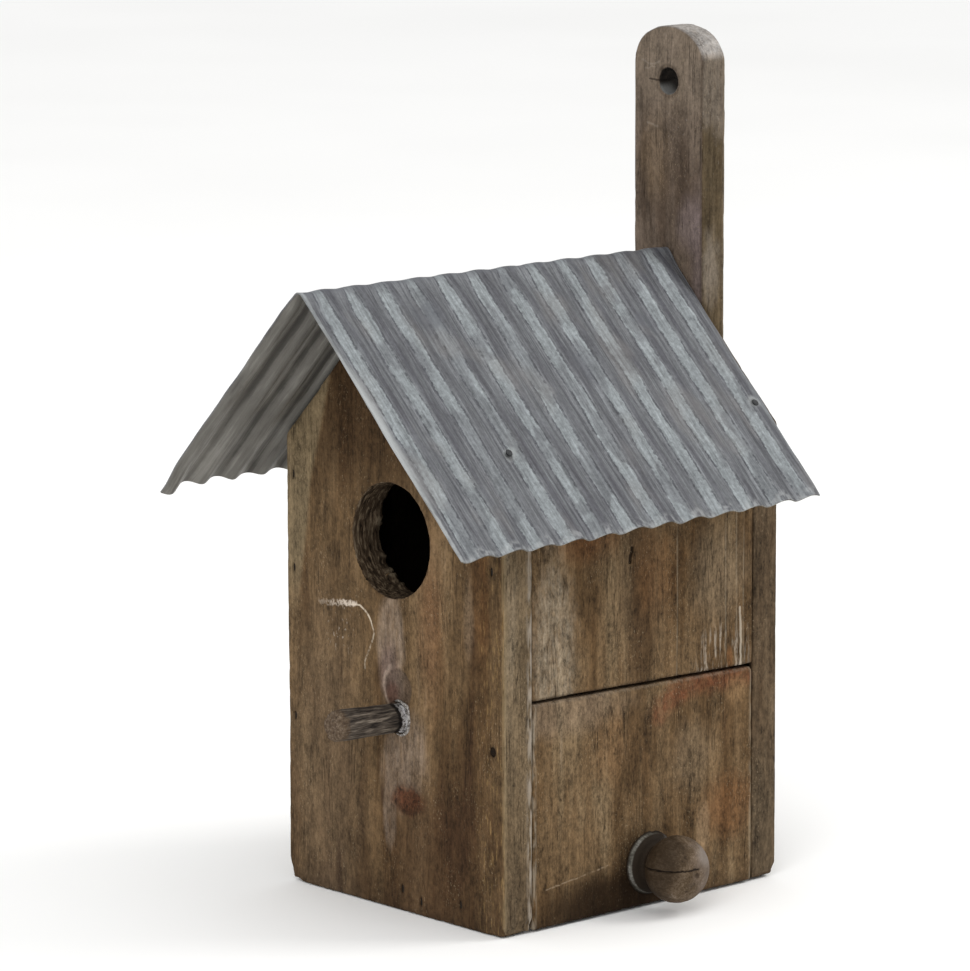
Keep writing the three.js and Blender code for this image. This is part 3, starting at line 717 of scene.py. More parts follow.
def door_tweak(g, c, h, over):
    y, z, x = g.y, g.z, g.x
    wob = (g.noise(6, 6, 24, 2.0) - 0.5) * 5.0
    # pale grey along the top left, red stain at the top right, orange patch low at the right
    c = g.mix(g.blob(y + wob, z, -40.0, 78.0, 30.0, 8.0, 0.5, 0.35) * 0.3, c, lin((136, 124, 112)))
    r1 = g.line(y, z, [(8.0, 71.5), (16.0, 76.5), (28.0, 79.5), (50.0, 79.0)], 4.2, 0.7, 5.0, 8.0)
    c = g.mix(r1 * (g.noise(3, 3, 3, 2.0) * 0.9).min(1.0), c, lin((112, 64, 44)))
    c = g.mix(g.blob(y, z, 47.0, 74.0, 5.0, 5.0, 0.5, 0.3) * 0.35, c, lin((152, 124, 92)))
    c = g.mix(g.blob(y + wob, z, 43.0, 31.0, 12.5, 11.0, 0.5, 0.35) * 0.48, c, lin((114, 79, 50)))
    c = g.mix(g.blob(y + wob, z, 30.5, 25.0, 3.2, 9.0, 0.4, 0.35) * 0.45, c, lin((148, 128, 104)))
    c = g.mix(g.blob(y + wob, z, -16.0, 62.0, 8.0, 12.0, 0.5, 0.35) * 0.30, c, lin((138, 108, 78)))
    c = g.mix(g.blob(y + wob, z, 24.0, 52.0, 9.0, 12.0, 0.6, 0.35) * 0.28, c, lin((132, 120, 102)))
    c = g.mix(g.blob(y + wob, z, -2.0, 58.0, 7.0, 20.0, 0.6, 0.35) * 0.25, c, lin((70, 54, 38)))
    # painted shadow of the knob, dark below and left of it
    dark = g.blob(y, z, -16.0, 4.5, 29.0, 11.0, 0.5, 0.25, 8.0)
    over.append((dark * 0.74, (30, 19, 9)))
    c = g.mix(dark * 0.6, c, lin((44, 31, 18)))
    c = g.mix(g.blob(y, z, -4.5, 17.5, 9.5, 12.5, 0.6, 0.25, 5.0) * 0.66, c, lin((28, 20, 12)))
    c = g.mix(z.step(8, 0) * 0.35, c, lin((44, 33, 24)))
    # a pale slanting scratch, and the chalky front edge
    s1 = g.line(y, z, [(-47.5, 14.7), (-32.0, 16.3), (-17.5, 18.4)], 0.28, 0.6, 0.9, 3.0)
    over.append((s1 * (g.noise(1.4, 1.4, 1.4, 2.0).step(0.35, 0.6) * 0.5 + 0.05), (150, 132, 110)))
    ed = (y + 52.6).step(1.1, -0.4) * g.noise(1.2, 1.2, 7, 2.0).step(0.36, 0.6)
    over.append((ed * 0.5, (156, 145, 128)))
    ed2 = (y - 54.0).step(-0.9, 0.5) * g.noise(1.2, 1.2, 7, 2.0).step(0.36, 0.6)
    over.append((ed2 * 0.42, (150, 138, 118)))
    lip = (z - 83.0 + (y + 53.8) * 0.01835).step(-1.6, -0.3) * g.noise(1.0, 1.0, 1.0, 2.0).step(0.3, 0.6)
    over.append((lip * 0.3, (146, 132, 116)))
    return c, h - s1 * 0.1


def post_tweak(g, c, h, over):
    x, y, z = g.x, g.y, g.z
    wob = (g.noise(7, 7, 26, 2.0) - 0.5) * 5.0
    c = g.mix(z.step(262, 296) * 0.5, c, lin((128, 116, 103)))
    c = g.mix(g.blob(x + wob, z, -6.0, 262.0, 7.0, 14.0, 0.6, 0.35) * 0.32, c, lin((128, 108, 84)))
    # painted shade on the post's face just above the roof ridge
    c = g.mix(g.blob(x + wob, z, 4.0, 250.0, 8.0, 26.0, 0.6, 0.35) * 0.35, c, lin((58, 47, 39)))
    c = g.mix((x - 13.5).step(-3, 3) * z.step(262, 236) * 0.35, c, lin((108, 96, 102)))
    c = g.mix(g.blob(x, z, 12, 238.0, 6.0, 9.0, 0.6, 0.3) * 0.45, c, lin((118, 106, 106)))
    # chips of white paint round the top
    chips = g.noise(1.3, 1.3, 1.9, 4.0, 0.8).step(0.56, 0.70) * g.noise(8, 8, 12, 2.0).step(0.44, 0.62) * z.step(226, 284)
    over.append((chips * 0.36, (160, 152, 143)))
    scr = g.line(x, z, [(-13.5, 297.0), (-9.0, 295.6), (-4.5, 296.8)], 0.35, 0.6, 1.6, 3.0).max(
        g.line(x, z, [(-12.0, 294.2), (-6.8, 295.0)], 0.3, 0.6, 1.6, 3.0)).max(
        g.line(x, z, [(-10.8, 274.0), (-5.0, 273.0)], 0.35, 0.6, 1.4, 3.0))
    over.append((scr * 0.16, (172, 162, 150)))
    # a check that runs left from the hole
    ck = g.line(x, z, [(-9.5, 290.4), (-4.0, 290.0)], 0.3, 0.6, 0.8, 3.0)
    c = g.mix(ck * 0.7, c, lin((40, 31, 26)))
    # side face: tan, with a chalky patch low down and grey at the top
    side = (x - 18.3).step(-0.25, 0.25)
    sc = g.ramp(g.noise(2.6, 2.6, 30, 3.0, 0.6), [(0.25, (56, 46, 33)), (0.5, (76, 65, 49)), (0.8, (96, 83, 65))])
    sc = g.mix(g.blob(y, z, 72.0, 222.0, 4.4, 12.0, 0.6, 0.5, 4.0) * 0.7, sc, lin((116, 107, 97)))
    sc = g.mix((z + (g.noise(5, 5, 9, 2.0) - 0.5) * 30.0).step(264, 286) * 0.55, sc, lin((116, 107, 99)))
    sc = g.mix(g.noise(1.6, 1.6, 5, 2.0).step(0.60, 0.72) * 0.4, sc, lin((70, 56, 42)))
    sc = g.mix((y - 78.2).step(-0.8, 0.6) * 0.4, sc, lin((128, 116, 100)))
    c = g.mix(side, c, sc)
    c = g.mix((x - 18.0).abs().step(0.9, 0.2) * y.step(69.0, 68.3) * 0.45, c, lin((48, 38, 30)))
    # the rounded top is worn nearly white, partly a painted highlight
    dx = x - POST_X
    arc = g.math("ADD", (dx * (1.0 / 18.25)) * (dx * (1.0 / 18.25)), ((z - 297.3) * (1.0 / 13.3)).max(0.0).pow(2.0))
    crown = arc.step(0.90, 0.985) * z.step(298, 303)
    c = g.mix(crown * (g.noise(1.6, 1.6, 1.6, 3.0, 0.65) * 0.9 + 0.2), c, lin((155, 154, 154)))
    rim = ((y - 68.3).abs().step(1.0, 0.2)) * arc.step(0.86, 0.95) * z.step(290, 300)
    c = g.mix(rim * 0.35, c, lin((72, 60, 52)))
    # the bore: painted shade nearly black inside it, and painted light on its lower wall near the front
    ex, ez = x - 0.4, z - 290.2
    rr = (ex * ex + ez * ez).pow(0.5)
    over.append((rr.step(5.3, 4.75) * 0.96, (20, 17, 15)))
    over.append((rr.step(5.3, 4.75) * (ez * -1.0).step(0.5, 3.2) * y.step(76.0, 70.0) * 0.6, (120, 120, 118)))
    c = g.mix((rr - 5.6).abs().step(1.3, 0.2) * 0.4, c, lin((62, 50, 40)))
    return c, h - ck * 0.3


def knob_material():
    g = G("knob_turned_wood")
    x, y, z = g.x, g.y, g.z
    dy, dz = y - KNOB[1], z - KNOB[2]
    rr = (dy * dy + dz * dz).pow(0.5)
    n1 = g.noise(5.0, 5.0, 5.0, 3.0, 0.6)
    n2 = g.noise(2.5, 0.7, 0.7, 3.0, 0.65)
    n3 = g.noise(0.7, 0.7, 0.7, 2.0, 0.6)
    tone = n1 * 0.45 + n2 * 0.35 + n3 * 0.2
    c = g.ramp((tone - 0.5) * 2.4 + 0.5, [(0.08, (40, 31, 22)), (0.4, (76, 62, 46)), (0.65, (100, 85, 69)), (0.95, (136, 123, 110))])
    # dark on the side that faces forward and up, partly a stain and partly painted shade; the neck is painted dark as
    # shade
    stain_and_shade = ((g.noise(7, 7, 7, 2.0) - 0.5) * 12.0 - dy * 1.0 - (x - 72.0) * 0.55 + dz * 0.35).step(-2.0, 6.5)
    c = g.mix(stain_and_shade * 0.74, c, lin((38, 28, 18)))
    # painted light: paler on the side towards +Y and out along the head
    c = g.mix((dy * 0.5 + (x - 72.0) * 0.3 + (g.noise(5, 5, 5, 2.0) - 0.5) * 8.0).step(1.5, 6.0) * 0.45, c, lin((112, 100, 92)))
    neck_shade = x.step(61.9, 63.2) * x.step(67.5, 65.4)
    c = g.mix(neck_shade * 0.7, c, lin((26, 20, 15)))
    # the flange's face is painted dark as the head's shadow on it; its rim is chalky
    flange_shadow = x.step(63.4, 62.6)
    c = g.mix(flange_shadow * 0.92, c, lin((34, 27, 20)))
    rim = x.step(61.7, 61.0) * x.step(59.4, 60.0) * rr.step(10.5, 10.95) * (dy * -0.12 + 0.5).max(0.0).min(1.0)
    c = g.mix(rim * ((n2 - 0.5) * 2.2 + 0.62).max(0.0).min(1.0), c, g.ramp(n1, [(0.3, (84, 82, 76)), (0.5, (112, 110, 102)), (0.7, (146, 144, 138))]))
    # the drying check, the turner's centre mark
    ck = g.math("ABSOLUTE", z - 18.0 - (g.noise(4, 4, 4, 1.0) - 0.5) * 0.9 - (g.noise(1.1, 1.1, 1.1, 1.0) - 0.5) * 0.7).step(0.46, 0.16) * (0.0 - dy).step(-2.5, -0.5) * x.step(65.5, 67.0)
    c = g.mix(ck * 0.9, c, lin((20, 12, 8)))
    mark = g.math("ADD", (dy - 0.6).pow(2.0), (dz + 0.6).pow(2.0)).step(1.6, 0.4) * x.step(80, 82)
    c = g.mix(mark * 0.7, c, lin((44, 34, 26)))
    # painted highlight on the upper right of the head
    hi = g.blob(dy, dz, 6.0, 5.5, 3.8, 3.2, 0.5, 0.35, 3.0)
    c = g.mix(hi * 0.35, c, lin((150, 142, 136)))
    h = n2 * 0.14 + n3 * 0.05 + n1 * 0.1
    return g.finish(c, n1 * 0.2 + 0.62, h, spec=0.10)


def perch_material():
    g = G("perch_twig")
    x, y, z = g.x, g.y, g.z
    n1 = g.noise(1.3, 15, 1.3, 3.0, 0.65)
    n2 = g.noise(0.55, 5.5, 0.55, 2.0, 0.6)
    c = g.ramp((n1 * 0.6 + n2 * 0.4 - 0.5) * 3.2 + 0.5, [(0.08, (30, 27, 25)), (0.35, (62, 56, 51)), (0.6, (86, 78, 70)), (0.92, (132, 122, 110))])
    along = FY - y + (g.noise(2.0, 2.0, 2.0, 2.0) - 0.5) * 2.2
    side = (x - PERCH[0] - (z - PERCH[1]) * 0.25 + (g.noise(1.6, 1.6, 1.6, 2.0) - 0.5) * 5.0).step(-2.5, 1.5)
    c = g.mix((y.step(-80, -70)) * 0.5, c, lin((34, 31, 30)))
    c = g.mix((along - 3.4).abs().step(1.5, 0.5) * 0.85, c, lin((14, 12, 12)))
    white = along.step(2.9, 2.0) * side
    c = g.mix(white * g.noise(1.0, 1.0, 1.0, 2.0, 0.7).step(0.36, 0.56) * 0.9, c, lin((186, 184, 184)))
    end = (y + (g.noise(1.6, 1.6, 1.6, 2.0) - 0.5) * 6.0).step(-93.5, -96.5)
    c = g.mix(end * 0.62, c, g.ramp(g.noise(1.2, 1.2, 1.2, 3.0, 0.6), [(0.3, (62, 46, 33)), (0.55, (98, 80, 62)), (0.8, (134, 118, 100))]))
    h = n1 * 0.3 + n2 * 0.12
    return g.finish(c, 0.82, h, spec=0.08)


def glue_material():
    g = G("perch_glue")
    n = g.noise(0.8, 0.8, 0.8, 3.0, 0.6)
    c = g.ramp((n - 0.5) * 2.2 + 0.5, [(0.15, (60, 55, 50)), (0.45, (110, 104, 98)), (0.85, (176, 172, 168))])
    return g.finish(c, 0.6, n * 0.2, spec=0.4)


def roof_material():
    g = G("galvanised_sheet")
    x, y, z = g.x, g.y, g.z
    # distance down the sheet from the ridge
    s = g.math("ABSOLUTE", x) * (1.0 / 0.705)
    ph = g.math("COSINE", (y - VALLEY_Y) * (2 * math.pi / PITCH))
    phs = g.math("SINE", (y - VALLEY_Y) * (2 * math.pi / PITCH))
    cloud = g.noise(24, 15, 24, 3.0, 0.55)
    lanes = g.noise(60, 3.4, 60, 3.0, 0.62)
    fine = g.noise(16, 0.85, 16, 3.0, 0.65)
    cell = g.noise(1.5, 1.1, 1.5, 3.0, 0.7)
    tone = cloud * 0.34 + lanes * 0.42 + fine * 0.24
    c = g.ramp((tone - 0.5) * 2.2 + 0.5, [(0.04, (64, 65, 69)), (0.32, (84, 85, 89)), (0.55, (98, 100, 103)), (0.78, (110, 113, 116)), (0.98, (126, 130, 132))])
    # pale oxide lies along the front flank of each corrugation, in strips with hard ragged sides, and a dark line
    # follows the crest; both are partly painted light and shade that strengthen the corrugations' own shading
    wander = (g.noise(26, 26, 26, 1.0) - 0.5) * 0.16 + (g.noise(2.6, 30, 2.6, 2.0, 0.7) - 0.5) * 0.06
    t = (y - VALLEY_Y) * (1.0 / PITCH) + wander
    u = (g.math("FRACT", t + 0.27) - 0.5).abs()
    v = (g.math("FRACT", t - 0.05) - 0.5).abs()
    w = (g.math("FRACT", t + 0.62) - 0.5).abs()
    here = (g.noise(30, 8.5, 30, 2.0, 0.5) + (g.noise(5, 5, 5, 1.0) - 0.5) * 0.16).step(0.44, 0.50)
    strip = u.step(0.158, 0.140)
    crust = g.noise(2.4, 1.3, 2.4, 3.0, 0.7)
    tone2 = g.ramp((crust * 0.6 + lanes * 0.4 - 0.5) * 1.7 + 0.5, [(0.1, (92, 96, 99)), (0.45, (125, 130, 132)), (0.9, (146, 152, 154))])
    c = g.mix(strip * (here * 0.6 + 0.34), c, tone2)
    rimline = ((u - 0.148).abs() - (g.noise(1.5, 1.2, 1.5, 2.0, 0.7) - 0.5) * 0.10).step(0.030, 0.010) * g.noise(5, 5, 5, 2.0, 0.6).step(0.36, 0.52)
    c = g.mix(rimline * 0.74, c, lin((60, 61, 66)))
    dark = v.step(0.15, 0.03)
    c = g.mix(dark * (g.noise(40, 9, 40, 2.0, 0.5).step(0.25, 0.6) * 0.5 + 0.28), c, lin((62, 62, 68)))
    seam = w.step(0.05, 0.015) * g.noise(34, 9, 34, 2.0).step(0.42, 0.54)
    c = g.mix(seam * 0.6, c, lin((66, 67, 72)))
    c = g.scale_colour(c, ((cell - 0.5) * 1.1 + (fine - 0.5) * 1.5 + 1.0).max(0.3))
    pits = g.noise(1.4, 0.55, 1.4, 1.0).step(0.68, 0.78) * g.noise(16, 6, 16, 2.0).step(0.45, 0.62)
    c = g.mix(pits * 0.5, c, lin((58, 57, 64)))
    warm = g.noise(34, 20, 34, 2.0).step(0.55, 0.7)
    c = g.mix(warm * 0.25, c, lin((124, 120, 116)))
    # dark marks where something lay against it
    for (sx, sy, a, b) in ((13.0, -62.0, 4.0, 6.0), (24.5, 34.0, 3.0, 5.0), (34.0, -7.0, 5.0, 3.5)):
        c = g.mix(g.blob(x, y, sx, sy, a, b, 0.5, 0.4, 4.0) * 0.5, c, lin((80, 82, 88)))
    # ------------------------------------------------------------------ the crimped ridge, a painted highlight along
    # the right wing's front cut edge, and the eaves
    ridge = s.step(5.0, 1.5)
    c = g.mix(ridge * 0.35, c, lin((96, 98, 104)))
    fr = (y - ROOF_FRONT + (g.noise(3, 3, 3, 2.0) - 0.5) * 2.4).step(2.9, 1.6) * (g.noise(8, 8, 8, 2.0).step(0.35, 0.6) * 0.6 + 0.35) * x.step(-4, 6)
    mid = g.blob(x, y, 44.0, -111.0, 26.0, 3.5, 0.6, 0.2)
    c = g.mix((fr * 0.55).max(mid * 0.6), c, lin((196, 200, 200)))
    eave = (x - 83.6).step(-1.2, 1.0) * g.noise(3, 3, 3, 2.0).step(0.4, 0.6)
    c = g.mix(eave * 0.35, c, lin((168, 170, 170)))
    # rust and dirt round the nails
    for (sx, sy) in ((56.6, -62.4), (54.3, 59.8), (-54.0, -61.0), (-54.0, 61.2)):
        c = g.mix(g.blob(x, y, sx, sy, 1.6, 2.4, 0.5, 0.3, 3.0) * 0.5, c, lin((160, 163, 162)))
        c = g.mix(g.blob(x - 0.4, y + 0.4, sx, sy, 1.0, 1.5, 0.5, 0.3, 2.0) * 0.7, c, lin((48, 47, 48)))
    # underneath: duller, warm grey, dusty
    geo = g.node("ShaderNodeNewGeometry")
    sepn = g.node("ShaderNodeSeparateXYZ")
    g.link(geo.outputs["Normal"], sepn.inputs[0])
    under = S(g, sepn.outputs[2]).step(0.02, -0.05)
    # the same strips and crest lines, partly painted light and shade, show underneath
    uc = g.ramp((lanes * 0.5 + cloud * 0.3 + fine * 0.2 - 0.5) * 2.6 + 0.5 + strip * 0.26 - dark * 0.34, [(0.08, (78, 75, 70)), (0.45, (112, 109, 102)), (0.8, (142, 139, 132)), (0.98, (160, 158, 152))])
    c = g.mix(under * 0.85, c, uc)
    h = cell * 0.10 + strip * here * crust * 0.14 + cloud * 0.15 + fine * 0.05 - pits * 0.06 - dark * 0.05 - rimline * 0.08
    rough = g.noise(10, 4, 10, 2.0) * 0.22 + 0.48
    return g.finish(c, rough, h, metallic=0.35, spec=0.4)


def nail_material(name, tones, rough=0.55, metallic=0.8, spec=0.4):
    g = G(name)
    n = g.noise(1.1, 1.1, 1.1, 3.0, 0.6)
    c = g.ramp(n, tones)
    return g.finish(c, n * 0.25 + rough - 0.1, n * 0.15, metallic=metallic, spec=spec)


# ------------------------------------------------------------------ build the wooden pieces
V = 0.92
slopeR = (PEAK - SHOULDER_R) / HALF
slopeL = (PEAK - SHOULDER_L) / HALF
nR = np.array([slopeR, 0, 1.0]) / math.hypot(slopeR, 1)
nL = np.array([-slopeL, 0, 1.0]) / math.hypot(slopeL, 1)


def gable_planes(y0, y1):
    return [
        ((-1, 0, 0), HALF), ((1, 0, 0), HALF), ((0, 0, -1), 0.0),
        (nR, float(nR @ np.array([0, 0, PEAK]))), (nL, float(nL @ np.array([0, 0, PEAK]))),
        ((0, -1, 0), -y0), ((0, 1, 0), y1),
    ]


GABLE = [(-HALF, 0), (HALF, 0), (HALF, SHOULDER_R), (0, PEAK), (-HALF, SHOULDER_L)]


def slot_cut(x, z, face, into, deep=26.2, rx=0.80, rz=1.75):
    return rod_mesh((x, face - into * 2.0, z), (x, face + into * deep, z), 1.0, n=14, squeeze=(rx, rz))


def bore_value(p):
    """Positive inside the entrance hole; the far side of the cut is torn and fibrous."""
    dx, dz = p[:, 0] - HOLE[0], p[:, 2] - HOLE[1]
    r = np.hypot(dx, dz)
    a = np.arctan2(dz, dx)
    q = np.stack([np.cos(a) * 5, np.sin(a) * 5, p[:, 1] / 2.2], axis=1)
    torn = fbm(q * 1.4, 3, 77)
    fib = vnoise(np.stack([a * 26, p[:, 1] / 7.0, 0 * a], axis=1), 78)
    upper = np.clip(np.sin(a) * 0.5 + 0.5, 0, 1)
    rough = np.clip(torn + 0.1, 0, 1) * (0.5 + 0.5 * upper) + 0.35 * np.clip(fib, 0, 1)
    rough = rough * (0.3 + 0.7 * sstep(p[:, 1], -66.8, -61.0))
    jag = fbm(np.stack([a * 6.0, 0 * a, 0 * a + 3], axis=1), 3, 79)
    rough = rough - sstep(p[:, 1], -60.0, -55.0) * (1.9 * np.clip(jag, 0, 1) * (0.35 + sstep(-dx, -4, 10)))
    for at, wide, tall in ((170.0, 0.13, 2.4), (231.0, 0.12, 2.6), (248.0, 0.06, 1.4)):
        turn = (a - math.radians(at) + math.pi) % (2 * math.pi) - math.pi
        rough = rough - tall * np.exp(-((turn / wide) ** 2)) * sstep(p[:, 1], -59.0, -55.6)
    return lambda q: HOLE[2] - np.hypot(q[:, 0] - HOLE[0], q[:, 2] - HOLE[1]) + rough


PTILT = PERCH[3]
PDIR = Vector((0, -math.cos(PTILT), math.sin(PTILT)))
PFACE = Vector((PERCH[0], FY, PERCH[1]))
perch_cut = rod_mesh(tuple(PFACE - PDIR * 18), tuple(PFACE + PDIR * 5), 6.3, n=28)


def front_extra(p):
    x, y, z = p[:, 0], p[:, 1], p[:, 2]
    on = sstep(y, -65.5, -67.0)
    # torn tongue over the perch, a dent round the knot, splinters at the lower corners
    t = np.hypot((x - 2.2) / 6.8, (z - 81.6) / 7.4) + 0.12 * vnoise(p / 3.0, 3)
    d = 0.5 * (1 - sstep(t, 0.9, 1.05)) * on
    k = np.hypot((x - 7.0) / 5.5, (z - 41.5) / 4.8)
    d += 0.25 * (1 - sstep(np.abs(k - 0.9), 0.0, 0.35)) * on
    corner = np.hypot(x - 59, z) + 2.0 * vnoise(p / 4.0, 5)
    d += 0.7 * (1 - sstep(corner, 1.0, 5.0))
    corner = np.hypot(x + 59, z) + 2.0 * vnoise(p / 4.0, 6)
    d += 0.8 * (1 - sstep(corner, 2.0, 8.0))
    return d


front_cuts = [perch_cut]
for (bx, bz) in ((4.0, 8.1), (14.2, 5.2), (35.5, 8.1), (-55.2, 152.6), (-55.2, 117.9), (-55.2, 62.5), (52.5, 132.0)):
    front_cuts.append(slot_cut(bx, bz, FY, 1))
front_cuts.append(slot_cut(PIVOT[0], PIVOT[1], FY, 1, rx=1.80, rz=1.90))
front = board(
    "front_board_worn", prism(GABLE, FY, IN_FRONT), gable_planes(FY, IN_FRONT), V, 1,
    holes=[(((HOLE[0], FY - 3, HOLE[1]), (HOLE[0], IN_FRONT + 3, HOLE[1]), HOLE[2], None, 96), bore_value)],
    cut=front_cuts, extra=front_extra, base_wear=0.55, more_wear=0.8, crisp=IN_FRONT,
)

back_cuts = []
for (bx, bz) in ((-30.0, 6.5), (28.0, 6.2), (-54.0, 148.0), (-53.6, 92.0), (-54.2, 28.0), (53.0, 146.0), (53.0, 104.0)):
    back_cuts.append(slot_cut(bx, bz, BY, -1))
back_cuts.append(slot_cut(PIVOT[0], PIVOT[1], BY, -1, rx=1.80, rz=1.90))
for sz in (168, 100, 32):
    back_cuts.append(rod_mesh((POST_X, BY + 3, sz), (POST_X, 56.8, sz), 1.95, n=16))


def back_extra(p):
    x, z = p[:, 0], p[:, 2]
    corner = np.hypot(x - 59, z) + 2.0 * vnoise(p / 4.0, 15)
    d = 0.9 * (1 - sstep(corner, 1.0, 5.0))
    corner = np.hypot(x + 59, z) + 2.0 * vnoise(p / 4.0, 16)
    d += 0.6 * (1 - sstep(corner, 1.0, 4.5))
    return d


back = board("back_board_worn", prism(GABLE, IN_BACK, BY), gable_planes(IN_BACK, BY), V * 1.08, 2, cut=back_cuts, extra=back_extra, base_wear=0.45, more_wear=0.7, crisp=IN_BACK)

SF, SB = IN_FRONT + 0.3, IN_BACK - 0.3
zl = SHOULDER_L - 0.2
left = board(
    "left_side_panel_worn", prism([(-59, 0), (-47, 0), (-47, zl + 12 * slopeL), (-59, zl)], SF, SB),
    [((-1, 0, 0), 59), ((1, 0, 0), -47), ((0, 0, -1), 0), ((0, -1, 0), -SF), ((0, 1, 0), SB), (nL, float(nL @ np.array([-59, 0, zl])))],
    V * 1.15, 3,
    cut=[slot_cut(bx, bz, FY, 1) for bx, bz in ((-55.2, 152.6), (-55.2, 117.9), (-55.2, 62.5))]
    + [slot_cut(bx, bz, BY, -1) for bx, bz in ((-54.0, 148.0), (-53.6, 92.0), (-54.2, 28.0))],
)
zr = SHOULDER_R - 0.2
nD = np.array([0, -2.0 / 109.0, -1.0])
nD /= np.linalg.norm(nD)
dcut = float(nD @ np.array([0, 0, door_top(0) + 1.3]))
base_r = prism([(47, 78), (59, 78), (59, zr), (47, zr + 12 * slopeR)], SF, SB)
below = prism([(SF - 5, 60), (SB + 5, 60), (SB + 5, door_top(SB + 5) + 1.3), (SF - 5, door_top(SF - 5) + 1.3)], 40, 66, axis="X")
o_tmp = new_object("tmp", base_r)
boolean(o_tmp, [below])
base_r = o_tmp.data
bpy.data.objects.remove(o_tmp)


def gouge(p):
    y, z = p[:, 1], p[:, 2]
    on = sstep(p[:, 0], 57.5, 58.8)
    t = np.clip(((y + 5.2) * -1.0 + (z - 133.2) * -5.0) / 26.0, 0, 1)
    d = np.hypot(y + 5.2 + 1.0 * t, z - 133.2 + 5.0 * t)
    return 0.7 * (1 - sstep(d, 0.3, 1.2)) * on


right = board(
    "right_side_panel_worn", base_r,
    [((-1, 0, 0), -47), ((1, 0, 0), 59), (nD, dcut), ((0, -1, 0), -SF), ((0, 1, 0), SB), (nR, float(nR @ np.array([59, 0, zr])))],
    V * 0.92, 4,
    cut=[slot_cut(52.5, 132.0, FY, 1)] + [slot_cut(bx, bz, BY, -1) for bx, bz in ((53.0, 146.0), (53.0, 104.0))],
    extra=gouge, base_wear=0.2, more_wear=0.35,
)
floor_b = board(
    "floor_board_worn", prism([(-46.7, 0), (46.7, 0), (46.7, 12), (-46.7, 12)], SF, SB),
    [((-1, 0, 0), 46.7), ((1, 0, 0), 46.7), ((0, 0, -1), 0), ((0, 0, 1), 12), ((0, -1, 0), -SF), ((0, 1, 0), SB)],
    V * 1.2, 5, depth=0.1,
    cut=[slot_cut(bx, bz, FY, 1) for bx, bz in ((4.0, 8.1), (14.2, 5.2), (35.5, 8.1))]
    + [slot_cut(bx, bz, BY, -1) for bx, bz in ((-30.0, 6.5), (28.0, 6.2))],
)
DF, DB = IN_FRONT + 0.6, IN_BACK - 0.6
nT = np.array([0, 2.0 / 109.0, 1.0])
nT /= np.linalg.norm(nT)
dT = float(nT @ np.array([0, 0, door_top(0)]))
nC = np.array([1.0, 2.0 / 109.0, 1.0])
nC /= np.linalg.norm(nC)
dC = float(nC @ np.array([58.0, 0, door_top(0)]))
door = board(
    "cleanout_door_worn", prism([(DF, 0.8), (DB, 0.8), (DB, door_top(DB)), (DF, door_top(DF))], 47, 59, axis="X"),
    [((-1, 0, 0), -47), ((1, 0, 0), 59), ((0, 0, -1), -0.8), (nT, dT), ((0, -1, 0), -DF), ((0, 1, 0), DB), (nC, dC)],
    V * 0.92, 6,
    cut=[rod_mesh((PIVOT[0], DF - 2, PIVOT[1]), (PIVOT[0], DF + 14.6, PIVOT[1]), 1.4, n=16),
         rod_mesh((PIVOT[0], DB + 2, PIVOT[1]), (PIVOT[0], DB - 14.6, PIVOT[1]), 1.4, n=16),
         rod_mesh((44, KNOB[1], KNOB[2]), (62, KNOB[1], KNOB[2]), 1.95, n=16)],
    base_wear=0.22, more_wear=0.4,
)


def post_value_planes(p, k):
    v = planes_value([((-1, 0, 0), POST_W / 2 - POST_X), ((1, 0, 0), POST_W / 2 + POST_X), ((0, 0, -1), -POST_BOTTOM)], p, k)
    zz = np.maximum(p[:, 2] - (POST_TOP - POST_ARCH), 0) / POST_ARCH
    q = np.sqrt(((p[:, 0] - POST_X) / (POST_W / 2)) ** 2 + zz**2)
    arch = (q - 1) * POST_ARCH
    v = np.where(p[:, 2] > POST_TOP - POST_ARCH, arch, smax(v, (np.abs(p[:, 0] - POST_X) - POST_W / 2), 0.01))
    v = smax(v, -(p[:, 1] - POST_Y0), k)
    v = smax(v, p[:, 1] - POST_Y1, k)
    return v


arch_pts = [(POST_X - POST_W / 2, POST_BOTTOM), (POST_X + POST_W / 2, POST_BOTTOM)]
arch_pts += [
    (POST_X + POST_W / 2 * math.cos(math.pi * i / 48), POST_TOP - POST_ARCH + POST_ARCH * math.sin(math.pi * i / 48))
    for i in range(49)
]
post = remeshed("hanging_post_worn", prism(arch_pts, POST_Y0, POST_Y1), V * 0.9,
                cut=[rod_mesh((0.4, POST_Y0 - 3, 290.2), (0.4, POST_Y1 + 3, 290.2), 4.7, n=40)])


def post_prepare(p):
    k = wear(p, 8, base=0.55, more=0.5)
    rough = 0.15 * np.clip(vnoise(p / 1.7, 81), 0, 1)
    chip = 0.5 * np.clip(fbm(p / np.array([5, 5, 7.0]), 2, 83) - 0.15, 0, 1) * sstep(p[:, 2], 296, 306)
    d = grain(p, 8, 0.14) + chip

    def value(q):
        v = post_value_planes(q, k)
        return smax(v, (4.7 - np.hypot(q[:, 0] - 0.4, q[:, 2] - 290.2)) + rough, 0.8) + d

    return value


settle(post, post_prepare)
boolean(post, [rod_mesh((POST_X, POST_Y1 + 2, sz), (POST_X, POST_Y1 - 0.25, sz), 3.65, n=24) for sz in (168, 100, 32)]
        + [rod_mesh((POST_X, POST_Y1 - 0.2, sz), (POST_X, POST_Y1 - 2.8, sz), 3.65, 1.95, n=24) for sz in (168, 100, 32)]
        + [rod_mesh((POST_X, POST_Y1 - 2.7, sz), (POST_X, POST_Y0 - 2, sz), 1.95, n=24) for sz in (168, 100, 32)])
post.data.polygons.foreach_set("use_smooth", np.ones(len(post.data.polygons), bool))

